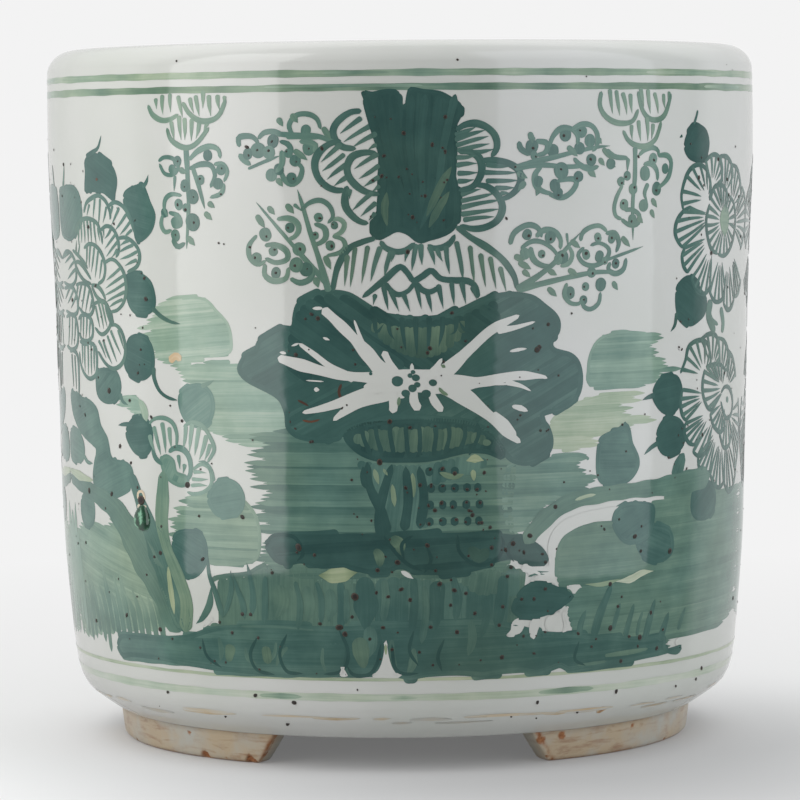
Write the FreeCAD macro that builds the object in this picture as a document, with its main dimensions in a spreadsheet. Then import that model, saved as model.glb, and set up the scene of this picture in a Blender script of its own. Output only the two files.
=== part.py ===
import FreeCAD, Part

import os

import Sketcher

# A cylindrical glazed porcelain jardiniere on three low bracket feet. A thrown wall with a
# rounded heel carries a rolled lip, a stepped floor slab sits on a ledge inside the heel, and
# three lugs under the base are what is left of a turned foot ring after three arches were cut.
# Millimetres, +Z up. The origin is on the pot's axis in the plane the feet stand on, and the
# painted front faces -Y.

doc = FreeCAD.newDocument("jardiniere")

# ---------------------------------------------------------------- driving dimensions

DRIVING_SIZES = [
    # the wall, outside: every radius is the rim's less an inset
    ("overall_height", 329.4, "table to the crest of the lip"),
    ("rim_radius", 170.0, "outer radius at the top of the wall and of the lip"),
    ("shoulder_drop", 40.0, "from the lip's joint down to where the leaning wall turns upright"),
    ("belly_height", 112.0, "above the table, where the wall starts to curve in to the heel"),
    ("belly_inset", 5.0, "how far the wall stands in from the rim there"),
    ("heel_inset", 13.0, "how far the heel stands in from the rim, before its corner is rounded"),
    ("heel_rise", 11.8, "height of the heel's corner above the base"),
    ("heel_round", 22.0, "rounding of the heel's corner"),
    ("bevel_reach", 17.7, "how far the flat base stands in from the heel, under its bevel"),
    # the wall, inside
    ("wall_thickness", 10.0, "thickness of the thrown wall"),
    ("inner_round", 12.0, "rounding between the wall and the floor inside"),
    # the lip
    ("lip_height", 27.4, "height of the lip above its joint with the wall"),
    ("lip_outer_round", 13.0, "rounding of the lip's outer edge"),
    ("lip_crest_flat", 0.1, "flat left on the crest between the lip's two roundings"),
    ("lip_inner_round", 4.4, "rounding of the lip's inner edge"),
    ("lip_drop", 15.0, "crest to the end of the lip's upright inner face"),
    ("lip_under_round", 8.0, "rounding under the lip, inside"),
    # the floor slab
    ("floor_thickness", 14.0, "thickness of the floor slab"),
    ("floor_margin", 0.7, "flat left on the wall between its inner rounding and the slab"),
    ("ledge_drop", 7.0, "how far the ledge that carries the slab lies below the floor's top"),
    ("ledge_width", 6.3, "width of that ledge"),
    ("luting_gap", 0.3, "room for slip between the slab's edge and the wall"),
    ("drain_radius", 11.0, "radius of the drain hole through the floor"),
    ("drain_round", 2.0, "rounding of the drain hole's upper edge"),
    # the feet
    ("foot_height", 14.4, "table to base"),
    ("foot_setback", 0.7, "how far a foot's outer face lies inside the base's edge"),
    ("foot_taper", 2.0, "how much further in the outer face is at the table"),
    ("foot_depth", 14.3, "a foot's depth, from its outer face towards the axis"),
    ("foot_sweep", 69.6, "angle that a foot covers at the base"),
    ("foot_end_run", 9.6, "how far each end of a foot leans in between base and table"),
    ("foot_edge_round", 2.4, "rounding of a foot's lower edges"),
    ("front_gap_turn", -0.6, "how far the front arch is off the front, seen from above"),
]

sheet = doc.addObject("Spreadsheet::Sheet", "sizes")
for row, (alias, size_in_mm, _meaning) in enumerate(DRIVING_SIZES, start=1):
    sheet.set("A%d" % row, alias)
    sheet.set("B%d" % row, str(size_in_mm))
    sheet.setAlias("B%d" % row, alias)
doc.recompute()


class Size:
    """A length or angle that knows both its value and the cells it comes from."""

    def __init__(self, value, cells):
        self.value = value
        self.cells = cells

    def __add__(self, other):
        return Size(self.value + other.value, "(%s + %s)" % (self.cells, other.cells))

    def __sub__(self, other):
        return Size(self.value - other.value, "(%s - %s)" % (self.cells, other.cells))

    def __mul__(self, other):
        return Size(self.value * other.value, "(%s * %s)" % (self.cells, other.cells))

    def __truediv__(self, other):
        return Size(self.value / other.value, "(%s / %s)" % (self.cells, other.cells))


def cell(alias):
    return Size(float(sheet.get(alias)), "sizes." + alias)


def number(value):
    return Size(float(value), "%r" % value)


TABLE = number(0)
HALF = number(0.5)
FEET = 3
FULL_TURN = 360
ORIGIN = (-1, 1)  # how a sketch constraint names the origin: the start of the horizontal axis
SAME_PLACE = 1e-4  # millimetres

# heights and radii that more than one piece is built to
base_height = cell("foot_height")
floor_height = base_height + cell("floor_thickness")
ledge_height = floor_height - cell("ledge_drop")
joint_height = cell("overall_height") - cell("lip_height")
rim_radius = cell("rim_radius")
rim_inside = rim_radius - cell("wall_thickness")
heel_radius = rim_radius - cell("heel_inset")
heel_inside = heel_radius - cell("wall_thickness")
base_radius = heel_radius - cell("bevel_reach")
ledge_radius = heel_inside - cell("inner_round") - cell("floor_margin")
well_radius = ledge_radius - cell("ledge_width")


# ---------------------------------------------------------------- sketches and features


def new_body(name):
    body = doc.addObject("PartDesign::Body", name)
    body.Label = name
    return body


def origin_feature(body, role):
    """One of the body's own origin planes or axes."""
    return [f for f in body.Origin.OriginFeatures if f.Role == role][0]


def new_sketch(body, name, plane_role, height=TABLE):
    """A sketch on an origin plane of the body, raised by a height along the plane's normal."""
    sketch = body.newObject("Sketcher::SketchObject", name)
    sketch.AttachmentSupport = [(origin_feature(body, plane_role), "")]
    sketch.MapMode = "FlatFace"
    sketch.setExpression(".AttachmentOffset.Base.z", height.cells)
    doc.recompute()
    return sketch


def hold(sketch, name, size, kind, *where):
    """Adds a dimension to a sketch and ties it to the cells."""
    index = sketch.addConstraint(Sketcher.Constraint(kind, *where, size.value))
    sketch.renameConstraint(index, name)
    sketch.setExpression("Constraints." + name, size.cells)


def arc_leaving(start, direction, end):
    """The arc from start to end that leaves start along a direction."""
    chord = end - start
    across = FreeCAD.Vector(-direction.y, direction.x, 0)
    reach = chord.Length**2 / (2 * chord.dot(across))
    centre = start + across * reach
    to_middle = (start - centre) + (end - centre)
    return Part.Arc(start, centre + to_middle.normalize() * abs(reach), end)


def end_at(sketch, edge, point):
    """Which end of an edge lies at a point: 1 for its start, 2 for its end."""
    return 1 if (sketch.getPoint(edge, 1) - point).Length < SAME_PLACE else 2


def draw_section(body, name, corners, arcs=(), smooth=()):
    """Draws a closed section in the radius-height plane. corners is [(name, radius, height)] in
    order, and the cells hold every one. arcs pairs the name of an edge's first corner with the
    arc that takes the straight line's place. Two edges run smoothly into each other at a smooth
    corner."""
    sketch = new_sketch(body, name, "XZ_Plane")
    arcs = dict(arcs)
    points = [FreeCAD.Vector(r.value, z.value, 0) for _, r, z in corners]
    for i, (corner, _, _) in enumerate(corners):
        straight = Part.LineSegment(points[i], points[(i + 1) % len(points)])
        sketch.addGeometry(arcs.get(corner, straight), False)
    for i, (corner, radius, height) in enumerate(corners):
        before = (i - 1) % len(corners)
        at_corner = (i, end_at(sketch, i, points[i]))
        joint = "Tangent" if corner in smooth else "Coincident"
        ends = (before, end_at(sketch, before, points[i])) + at_corner
        sketch.addConstraint(Sketcher.Constraint(joint, *ends))
        hold(sketch, corner + "_r", radius, "DistanceX", *ORIGIN, *at_corner)
        if height is TABLE:
            horizontal_axis = ORIGIN[0]
            sketch.addConstraint(Sketcher.Constraint("PointOnObject", *at_corner, horizontal_axis))
        else:
            hold(sketch, corner + "_z", height, "DistanceY", *ORIGIN, *at_corner)
    doc.recompute()
    return sketch


def draw_circle(body, name, radius, height):
    sketch = new_sketch(body, name, "XY_Plane", height)
    up = FreeCAD.Vector(0, 0, 1)
    sketch.addGeometry(Part.Circle(FreeCAD.Vector(), up, radius.value), False)
    sketch.addConstraint(Sketcher.Constraint("Coincident", 0, 3, *ORIGIN))
    hold(sketch, "radius", radius, "Radius", 0)
    doc.recompute()
    return sketch


def use(body, sketch, kind, suffix):
    """A feature of the body made from a sketch."""
    feature = body.newObject("PartDesign::" + kind, sketch.Name + suffix)
    feature.Profile = sketch
    sketch.Visibility = False
    return feature


def revolve(body, sketch, sweep=number(FULL_TURN)):
    """Turns a section about the upright axis, evenly either side of its plane."""
    turned = use(body, sketch, "Revolution", "_turned")
    turned.ReferenceAxis = (origin_feature(body, "Z_Axis"), [""])
    turned.Midplane = True
    turned.setExpression("Angle", sweep.cells)
    doc.recompute()
    return turned


def ring_edges(shape, radius, height):
    """The names of the round edges that have a radius and lie level at a height."""
    names = []
    for i, edge in enumerate(shape.Edges, start=1):
        is_level = abs(edge.BoundBox.Center.z - height.value) < SAME_PLACE
        is_round = hasattr(edge.Curve, "Radius")
        if is_level and is_round and abs(edge.Curve.Radius - radius.value) < SAME_PLACE:
            names.append("Edge%d" % i)
    return names


def round_edges(body, base, names, size_name):
    rounded = body.newObject("PartDesign::Fillet", "rounded")
    rounded.Base = (base, names)
    rounded.setExpression("Radius", "sizes." + size_name)
    doc.recompute()
    return rounded


# ---------------------------------------------------------------- pot wall


def make_pot_wall():
    """The thrown wall with its bevelled, rounded heel and the ledge for the floor slab. Outside
    it leans out evenly from belly to shoulder, and from there an arc brings it upright."""
    heel_height = base_height + cell("heel_rise")
    belly_height = cell("belly_height")
    belly_radius = rim_radius - cell("belly_inset")
    belly_inside = belly_radius - cell("wall_thickness")
    shoulder_height = joint_height - cell("shoulder_drop")
    # the arc gains half of what the wall would gain by leaning on over the same height
    straight_run = shoulder_height - belly_height
    straight_share = straight_run / (straight_run + cell("shoulder_drop") * HALF)
    shoulder_radius = belly_radius + cell("belly_inset") * straight_share
    corners = [
        ("rim_inside", rim_inside, joint_height),
        ("belly_inside", belly_inside, belly_height),
        ("heel_inside", heel_inside, floor_height),
        ("ledge_brink", ledge_radius, floor_height),
        ("ledge", ledge_radius, ledge_height),
        ("well_top", well_radius, ledge_height),
        ("well_foot", well_radius, base_height),
        ("base_edge", base_radius, base_height),
        ("heel", heel_radius, heel_height),
        ("belly", belly_radius, belly_height),
        ("shoulder", shoulder_radius, shoulder_height),
        ("rim_outside", rim_radius, joint_height),
    ]
    at = {name: FreeCAD.Vector(r.value, z.value, 0) for name, r, z in corners}
    down_inside = (at["belly_inside"] - at["rim_inside"]).normalize()
    down_outside = (at["belly"] - at["shoulder"]).normalize()
    arcs = {
        "belly_inside": arc_leaving(at["belly_inside"], down_inside, at["heel_inside"]),
        "heel": arc_leaving(at["belly"], down_outside, at["heel"]),
        "shoulder": arc_leaving(at["shoulder"], down_outside * -1, at["rim_outside"]),
    }
    body = new_body("pot_wall")
    smooth = ("belly_inside", "belly", "shoulder")
    wall = revolve(body, draw_section(body, "wall_section", corners, arcs, smooth))
    heel = ring_edges(wall.Shape, heel_radius, heel_height)
    wall = round_edges(body, wall, heel, "heel_round")
    inner_corner = ring_edges(wall.Shape, heel_inside, floor_height)
    round_edges(body, wall, inner_corner, "inner_round")
    return body


# ---------------------------------------------------------------- lip


def make_lip_ring():
    """The rolled lip: upright outside, turned in over the mouth, luted on the wall's top face."""
    crest = cell("overall_height")
    roll_width = cell("lip_outer_round") + cell("lip_crest_flat") + cell("lip_inner_round")
    mouth = rim_radius - roll_width
    under = crest - cell("lip_drop")
    corners = [
        ("foot_inside", rim_inside, joint_height),
        ("foot_outside", rim_radius, joint_height),
        ("crest_outside", rim_radius, crest),
        ("crest_inside", mouth, crest),
        ("under", mouth, under),
    ]
    body = new_body("lip_ring")
    lip = revolve(body, draw_section(body, "lip_section", corners))
    for size_name, radius, height in (
        ("lip_outer_round", rim_radius, crest),
        ("lip_inner_round", mouth, crest),
        ("lip_under_round", mouth, under),
    ):
        lip = round_edges(body, lip, ring_edges(lip.Shape, radius, height), size_name)
    return body


# ---------------------------------------------------------------- floor slab


def make_floor_slab():
    """The floor: a disc with a stepped edge that rests on the wall's ledge, and a drain hole."""
    body = new_body("floor_slab")
    plug = draw_circle(body, "plug", well_radius - cell("luting_gap"), base_height)
    plug_pad = use(body, plug, "Pad", "_pad")
    plug_pad.setExpression("Length", (ledge_height - base_height).cells)
    doc.recompute()
    disc = draw_circle(body, "disc", ledge_radius - cell("luting_gap"), ledge_height)
    disc_pad = use(body, disc, "Pad", "_pad")
    disc_pad.setExpression("Length", "sizes.ledge_drop")
    doc.recompute()
    drain = draw_circle(body, "drain", cell("drain_radius"), floor_height)
    drain_hole = use(body, drain, "Pocket", "_hole")
    drain_hole.Type = "ThroughAll"
    doc.recompute()
    brink = ring_edges(drain_hole.Shape, cell("drain_radius"), floor_height)
    round_edges(body, drain_hole, brink, "drain_round")
    return body


# ---------------------------------------------------------------- feet


def lean_ends(body, foot):
    """Cuts both ends of a foot so that they lean in from the base to the table."""
    cut = body.newObject("PartDesign::SubtractiveBox", "end_cut")
    cut.AttachmentSupport = [(origin_feature(body, "XY_Plane"), "")]
    cut.MapMode = "FlatFace"
    half_sweep = cell("foot_sweep") * HALF
    run = cell("foot_end_run")
    place = {
        "Base.x": "%s * sin(%s)" % (run.cells, half_sweep.cells),
        "Base.y": "-%s * cos(%s)" % (run.cells, half_sweep.cells),
        "Rotation.Yaw": half_sweep.cells,
        "Rotation.Roll": "-atan(%s / %s)" % (run.cells, base_height.cells),
    }
    for path, cells in place.items():
        cut.setExpression(".AttachmentOffset." + path, cells)
    cut.setExpression("Length", base_radius.cells)
    cut.setExpression("Width", base_radius.cells)
    cut.setExpression("Height", (base_height + base_height).cells)
    doc.recompute()
    both = body.newObject("PartDesign::Mirrored", "both_ends")
    both.Originals = [cut]
    both.MirrorPlane = (origin_feature(body, "XZ_Plane"), [""])
    body.Tip = both
    doc.recompute()
    if not both.Shape.Volume < cut.Shape.Volume < foot.Shape.Volume:
        raise RuntimeError(body.Label + ": an end was not cut")
    return both


def make_foot(name, turn):
    """One bracket foot: a piece of the turned foot ring, its ends leaning in to the table and its
    lower edges rubbed round. turn is where its middle lies, in degrees from +X."""
    outer_top = base_radius - cell("foot_setback")
    inner = outer_top - cell("foot_depth")
    corners = [
        ("inner_foot", inner, TABLE),
        ("outer_foot", outer_top - cell("foot_taper"), TABLE),
        ("outer_top", outer_top, base_height),
        ("inner_top", inner, base_height),
    ]
    body = new_body(name)
    section = draw_section(body, name + "_section", corners)
    foot = lean_ends(body, revolve(body, section, cell("foot_sweep")))
    on_table = [
        "Edge%d" % i
        for i, edge in enumerate(foot.Shape.Edges, start=1)
        if edge.BoundBox.ZMax < SAME_PLACE
    ]
    round_edges(body, foot, on_table, "foot_edge_round")
    body.setExpression(".Placement.Rotation.Yaw", turn.cells)
    return body


def make_feet():
    """Three alike, a third of a turn apart, with an arch between the two at the front."""
    front = cell("front_gap_turn") - number(90)
    pitch = number(FULL_TURN / FEET)
    places = [("foot_front_left", -0.5), ("foot_front_right", 0.5), ("foot_back", 1.5)]
    return [make_foot(name, front + pitch * number(steps)) for name, steps in places]


# ---------------------------------------------------------------- build, check, write

pieces = [make_pot_wall(), make_lip_ring(), make_floor_slab()] + make_feet()
doc.recompute()

for item in doc.Objects:
    if "Invalid" in item.State or "Error" in item.State:
        raise RuntimeError("%s failed: %s" % (item.Label, item.State))
for piece in pieces:
    shape = piece.Shape
    if shape.isNull() or not shape.isValid() or shape.Volume <= 0:
        raise RuntimeError(piece.Label + " has no valid solid")
    print("%-18s %d solid, %.1f cm3" % (piece.Label, len(shape.Solids), shape.Volume / 1000))

os.makedirs("parts", exist_ok=True)
for piece in pieces:
    piece.Shape.exportStep("parts/%s.step" % piece.Label)
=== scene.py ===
import math
import random

import bmesh
import bpy
import numpy as np
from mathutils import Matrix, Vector, noise


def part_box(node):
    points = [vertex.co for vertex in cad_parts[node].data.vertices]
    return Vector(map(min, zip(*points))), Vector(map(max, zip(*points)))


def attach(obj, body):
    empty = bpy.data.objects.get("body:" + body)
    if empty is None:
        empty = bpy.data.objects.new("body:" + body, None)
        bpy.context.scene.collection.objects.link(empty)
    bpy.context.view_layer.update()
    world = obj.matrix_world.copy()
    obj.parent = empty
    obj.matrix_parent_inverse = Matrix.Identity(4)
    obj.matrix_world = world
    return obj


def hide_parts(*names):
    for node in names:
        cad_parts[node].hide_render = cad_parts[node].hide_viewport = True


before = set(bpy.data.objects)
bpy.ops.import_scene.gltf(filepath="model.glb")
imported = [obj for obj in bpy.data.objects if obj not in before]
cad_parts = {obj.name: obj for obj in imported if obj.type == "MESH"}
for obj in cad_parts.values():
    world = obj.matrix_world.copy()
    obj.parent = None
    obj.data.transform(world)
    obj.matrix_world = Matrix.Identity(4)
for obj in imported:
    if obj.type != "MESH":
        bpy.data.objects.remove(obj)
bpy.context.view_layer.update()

# ================================================================ studio
# A pale table top with a shadow painted into it in front of the pot, that runs into a pale backdrop, a tall
# soft lamp either side that shows as an upright bright band in the glaze, and a long-lens camera a little
# below the pot's lip.

EYE_DISTANCE = 1.943  # from the pot's axis, level
EYE_HEIGHT = 0.2783
EYE_PITCH = math.radians(-3.5)
EYE_ROLL = math.radians(0.55)
LENS_MM = 180.2
AXIS_RIGHT_OF_CENTRE = 2.7 / 800  # of the picture's width


def in_scene(name, data):
    """A new object in the scene, of a mesh, a lamp or a camera."""
    thing = bpy.data.objects.new(name, data)
    bpy.context.scene.collection.objects.link(thing)
    return thing


camera_data = bpy.data.cameras.new("camera")
camera_data.lens = LENS_MM
camera_data.sensor_width = 36.0
camera_data.shift_x = -AXIS_RIGHT_OF_CENTRE
camera = in_scene("camera", camera_data)
camera.rotation_mode = "ZXY"
camera.location = (0, -EYE_DISTANCE, EYE_HEIGHT)
camera.rotation_euler = (math.radians(90) + EYE_PITCH, 0, 0)
camera.rotation_euler.rotate_axis("Z", -EYE_ROLL)
bpy.context.scene.camera = camera
bpy.context.scene.view_settings.view_transform = "Standard"


def new_material(name):
    """A material with nothing in it. Returns it with its tree."""
    material = bpy.data.materials.new(name)
    material.use_nodes = True
    material.node_tree.nodes.clear()
    return material, material.node_tree


def add_node(tree, kind, settings=None, **inputs):
    """Adds a node. Keyword inputs go in by the socket's name, with _ for a space: a socket of
    another node is linked, and anything else is set."""
    node = tree.nodes.new(kind)
    for name, value in (settings or {}).items():
        setattr(node, name, value)
    for name, value in inputs.items():
        socket = node.inputs[int(name[2:])] if name.startswith("in") and name[2:].isdigit() else (
            node.inputs[name.replace("_", " ")]
        )
        if isinstance(value, bpy.types.NodeSocket):
            tree.links.new(value, socket)
        else:
            socket.default_value = value
    return node


def calc(tree, operation, first, second=0.0, third=0.0):
    """A sum on one to three numbers or sockets."""
    return add_node(tree, "ShaderNodeMath", {"operation": operation}, in0=first, in1=second,
                    in2=third).outputs[0]


def aim(tree, operation, first, second=(0.0, 0.0, 0.0)):
    """A sum on one or two places or directions. Gives a number for a length or a dot product."""
    measured = operation in ("LENGTH", "DISTANCE", "DOT_PRODUCT")
    node = add_node(tree, "ShaderNodeVectorMath", {"operation": operation}, in0=first, in1=second)
    return node.outputs["Value" if measured else "Vector"]


def remap(tree, value, low, high, to_low=0.0, to_high=1.0):
    """Takes the span from low to high to another one, and holds it there."""
    return add_node(tree, "ShaderNodeMapRange", Value=value, From_Min=low, From_Max=high, To_Min=to_low,
                    To_Max=to_high).outputs[0]


def object_place(tree):
    """The place on the piece that is being coloured."""
    return add_node(tree, "ShaderNodeTexCoord").outputs["Object"]


def blend(tree, share, first, second):
    """A colour between two others, by its share of the second."""
    return add_node(tree, "ShaderNodeMix", {"data_type": "RGBA"}, in0=share, in6=first,
                    in7=second).outputs[2]


def rgb(red, green, blue):
    """A colour given as it looks on screen, 0 to 255, as a shader wants it."""
    linear = [((c / 255 + 0.055) / 1.055) ** 2.4 if c > 10 else c / 255 / 12.92 for c in (red, green, blue)]
    return (*linear, 1.0)


PAINTED_SHADOW_CENTRE = (0.10, -0.17, 0.0)  # the centre of the painted shadow: the table is darkest in front of the pot and a little right
TABLE_PALE = rgb(238, 238, 238)
BACKDROP_TONE = rgb(243, 243, 243)
# the colour of the shadow painted on the table
PAINTED_SHADOW_TONE = rgb(176, 176, 176)


def make_floor():
    """A round table top, lit near the pot, that melts into the backdrop towards its edge, with a shadow
    painted into its colour in front of the pot.
    """
    reach = 0.9
    turns = [math.radians(3.75 * step) for step in range(96)]
    mesh = bpy.data.meshes.new("floor")
    mesh.from_pydata([(reach * math.cos(turn), reach * math.sin(turn), 0) for turn in turns], [],
                     [tuple(range(96))])
    floor = in_scene("floor", mesh)
    material, tree = new_material("table_top")
    place = object_place(tree)
    away = aim(tree, "LENGTH", place)
    melt = remap(tree, away, 0.19, 0.85, 0.15, 1.0)
    paths = add_node(tree, "ShaderNodeLightPath").outputs
    seen = calc(tree, "MAXIMUM", paths["Is Camera Ray"], paths["Is Glossy Ray"])
    by_lamps = aim(tree, "DISTANCE", place, (0, 0.10, 0))
    by_lamps = remap(tree, by_lamps, 0.40, 0.48)
    depth = add_node(tree, "ShaderNodeSeparateXYZ", Vector=place).outputs[1]
    front = remap(tree, depth, 0.10, -0.05)
    by_lamps = calc(tree, "MULTIPLY", by_lamps, front)
    melted = calc(tree, "MAXIMUM", melt, by_lamps)
    share = calc(tree, "MULTIPLY", melted, seen)
    beyond = remap(tree, away, 0.21, 0.31)
    past_edge = calc(tree, "MULTIPLY", beyond, paths["Is Glossy Ray"])
    # painted shadow: for camera rays the table's colour darkens towards a spot in front of the pot
    from_painted_shadow = aim(tree, "DISTANCE", place, PAINTED_SHADOW_CENTRE)
    painted_shadow = add_node(tree, "ShaderNodeMapRange", {"interpolation_type": "SMOOTHSTEP"}, Value=from_painted_shadow,
                    From_Min=0.0, From_Max=0.40, To_Min=1.0, To_Max=0.0).outputs[0]
    shadow_share = add_node(tree, "ShaderNodeMix", in0=paths["Is Camera Ray"], in2=0.45, in3=painted_shadow).outputs[0]
    tone = blend(tree, shadow_share, TABLE_PALE, PAINTED_SHADOW_TONE)
    lit = add_node(tree, "ShaderNodeBsdfDiffuse", Color=tone).outputs[0]
    backdrop = add_node(tree, "ShaderNodeEmission", Color=BACKDROP_TONE, Strength=1.0).outputs[0]
    mixed = add_node(tree, "ShaderNodeMixShader", Fac=share, in1=lit, in2=backdrop).outputs[0]
    gone = add_node(tree, "ShaderNodeBsdfTransparent").outputs[0]
    table = add_node(tree, "ShaderNodeMixShader", Fac=past_edge, in1=mixed, in2=gone).outputs[0]
    add_node(tree, "ShaderNodeOutputMaterial", Surface=table)
    mesh.materials.append(material)


make_floor()

PALE_SIDE = (-0.196, 0.981, 0.0)  # the backdrop stands behind and a little to the left
ROOM_LEVEL = 0.25
BACKDROP_LEVEL = 0.78
CEILING_LEVEL = 0.82

world = bpy.data.worlds.new("backdrop")
world.use_nodes = True
sky = world.node_tree
sky.nodes.clear()
sky_paths = add_node(sky, "ShaderNodeLightPath").outputs
sky_seen = calc(sky, "MAXIMUM", sky_paths["Is Camera Ray"], sky_paths["Is Transmission Ray"])
sky_way = add_node(sky, "ShaderNodeTexCoord").outputs["Generated"]
behind = aim(sky, "DOT_PRODUCT", sky_way, PALE_SIDE)
sky_level = remap(sky, behind, 0.16, 0.30, ROOM_LEVEL, BACKDROP_LEVEL)
sky_height = add_node(sky, "ShaderNodeSeparateXYZ", Vector=sky_way).outputs[2]
overhead = remap(sky, sky_height, 0.35, 0.9, 0.0, CEILING_LEVEL)
sky_sum = calc(sky, "ADD", sky_level, overhead)
ambient = add_node(sky, "ShaderNodeBackground", Color=(1, 1, 1, 1), Strength=sky_sum).outputs[0]
pale = add_node(sky, "ShaderNodeBackground", Color=BACKDROP_TONE, Strength=1.0).outputs[0]
sky_mix = add_node(sky, "ShaderNodeMixShader", Fac=sky_seen, in1=ambient, in2=pale).outputs[0]
add_node(sky, "ShaderNodeOutputWorld", Surface=sky_mix)
bpy.context.scene.world = world


LEFT_NEAR, LEFT_FAR = (-0.404, -0.198), (-0.233, -0.385)  # upright edges of the lamps, on the table
RIGHT_NEAR, RIGHT_FAR = (0.433, -0.122), (0.189, -0.409)


def make_tall_lamp(name, near, far, radiance, colour):
    """A tall soft box whose two upright edges stand over near and far."""
    bottom, top = 0.03, 0.85
    height = top - bottom
    width = math.dist(near, far)
    data = bpy.data.lights.new(name, "AREA")
    data.shape = "RECTANGLE"
    data.size = width
    data.size_y = height
    data.energy = radiance * math.pi * width * height
    data.color = colour
    lamp = in_scene(name, data)
    lamp.location = ((near[0] + far[0]) / 2, (near[1] + far[1]) / 2, (top + bottom) / 2)
    turn = math.atan2(abs(near[1] - far[1]), abs(near[0] - far[0]))
    lamp.rotation_euler = (math.radians(90), 0, math.copysign(turn, near[0]))
    lamp.visible_camera = False


make_tall_lamp("lamp_left", LEFT_NEAR, LEFT_FAR, 1.70, (1.0, 1.0, 1.0))
make_tall_lamp("lamp_right", RIGHT_NEAR, RIGHT_FAR, 0.88, (0.95, 0.99, 1.06))

# ================================================================ glazed pot
# Thrown wall, rolled lip and luted floor, fired into one piece of white porcelain under one coat
# of clear, faintly green glaze. Its section is turned about the pot's axis, and the throwing
# marks and the small unevenness of a hand-thrown wall are worked in afterwards.

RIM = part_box("lip_ring")[1][0]
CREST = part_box("lip_ring")[1][2]
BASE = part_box("pot_wall")[0][2]
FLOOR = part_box("floor_slab")[1][2]
WALL = 0.010

# the outside from the base's edge to the lip, as (radius, height) in millimetres
OUTSIDE = [
    (139.3, 14.4), (146.8, 19.4), (153.0, 24.2), (156.3, 28.8), (158.3, 34.5), (160.0, 44), (161.4, 58),
    (162.7, 73), (163.9, 88), (164.8, 106), (165.4, 130), (166.0, 155), (166.7, 180), (167.1, 205),
    (168.0, 230), (169.1, 254), (169.8, 275), (170.0, 292), (169.85, 311),
]
LIP_ROUND = 0.0125


def smooth_line(points, steps):
    """A Catmull-Rom line through points, with steps pieces between each pair."""
    p = np.array(points, dtype=float)
    p = np.vstack([2 * p[0] - p[1], p, 2 * p[-1] - p[-2]])
    line = []
    for i in range(1, len(p) - 2):
        for t in np.linspace(0, 1, steps, endpoint=False):
            a, b, c, d = p[i - 1 : i + 3]
            bend = 2 * a - 5 * b + 4 * c - d
            line.append(0.5 * (2 * b + (c - a) * t + bend * t**2 + (3 * b - a - 3 * c + d) * t**3))
    line.append(p[-2])
    return np.array(line)


def arc(centre, radius, start, end, steps):
    """Points on part of a circle, from one angle to another, in degrees."""
    turns = np.radians(np.linspace(start, end, steps))
    return np.stack([centre[0] + radius * np.cos(turns), centre[1] + radius * np.sin(turns)], 1)


def pot_section():
    """The closed section of wall, lip and floor in the radius-height plane, in metres."""
    outside = smooth_line([(r / 1000, z / 1000) for r, z in OUTSIDE], 8)
    lip_centre = (RIM - LIP_ROUND, CREST - LIP_ROUND)
    outer_lip = arc(lip_centre, LIP_ROUND, 12, 90, 12)
    inner = 0.0044
    mouth = RIM - LIP_ROUND - inner - 0.0006
    inner_lip = arc((mouth + inner, CREST - inner), inner, 90, 180, 8)
    under = smooth_line([(mouth, CREST - 0.011), (mouth + 0.0016, CREST - 0.0165),
                         (mouth + 0.006, CREST - 0.0235), (RIM - WALL, CREST - 0.033),
                         (RIM - WALL - 0.0002, CREST - 0.045)], 5)
    inside = smooth_line([(RIM - WALL - 0.0004, 0.27), (0.158, 0.235), (0.1568, 0.19), (0.1557, 0.14),
                          (0.1543, 0.098), (0.1515, 0.064), (0.1478, FLOOR + 0.0135)], 7)
    corner = arc((0.1475 - 0.0125, FLOOR + 0.0128), 0.0125, 0, -90, 10)
    drain = 0.011
    floor_in = [(0.11, FLOOR + 0.0002), (0.07, FLOOR), (0.03, FLOOR), (drain + 0.002, FLOOR)]
    hole = [(drain + 0.0006, FLOOR - 0.0006), (drain, FLOOR - 0.002), (drain, BASE)]
    under_side = [(0.05, BASE), (0.1, BASE), (0.13, BASE)]
    parts = [outside, outer_lip, inner_lip, under, inside, corner, floor_in, hole, under_side]
    return np.vstack([np.array(p) for p in parts])


def line_object(name, points, closed):
    """A mesh of edges through points, for a modifier to work on."""
    mesh = bpy.data.meshes.new(name)
    edges = [(i, i + 1) for i in range(len(points) - 1)] + ([(len(points) - 1, 0)] if closed else [])
    mesh.from_pydata([tuple(p) for p in points], edges, [])
    return in_scene(name, mesh)


def new_geometry_tree(name, inputs):
    """An empty Geometry Nodes tree with its in and out nodes and named inputs."""
    tree = bpy.data.node_groups.new(name, "GeometryNodeTree")
    tree.interface.new_socket("Geometry", in_out="INPUT", socket_type="NodeSocketGeometry")
    tree.interface.new_socket("Geometry", in_out="OUTPUT", socket_type="NodeSocketGeometry")
    for label, kind in inputs:
        tree.interface.new_socket(label, in_out="INPUT", socket_type="NodeSocket" + kind)
    return tree, tree.nodes.new("NodeGroupInput").outputs, tree.nodes.new("NodeGroupOutput").inputs


def clouds(tree, place, scale, detail, **more):
    """A soft, cloudy unevenness from 0 to 1."""
    return add_node(tree, "ShaderNodeTexNoise", Vector=place, Scale=scale, Detail=detail, **more).outputs[0]


def scaled(tree, way, amount):
    """A direction made longer or shorter."""
    return add_node(tree, "ShaderNodeVectorMath", {"operation": "SCALE"}, in0=way, Scale=amount).outputs[0]


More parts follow.
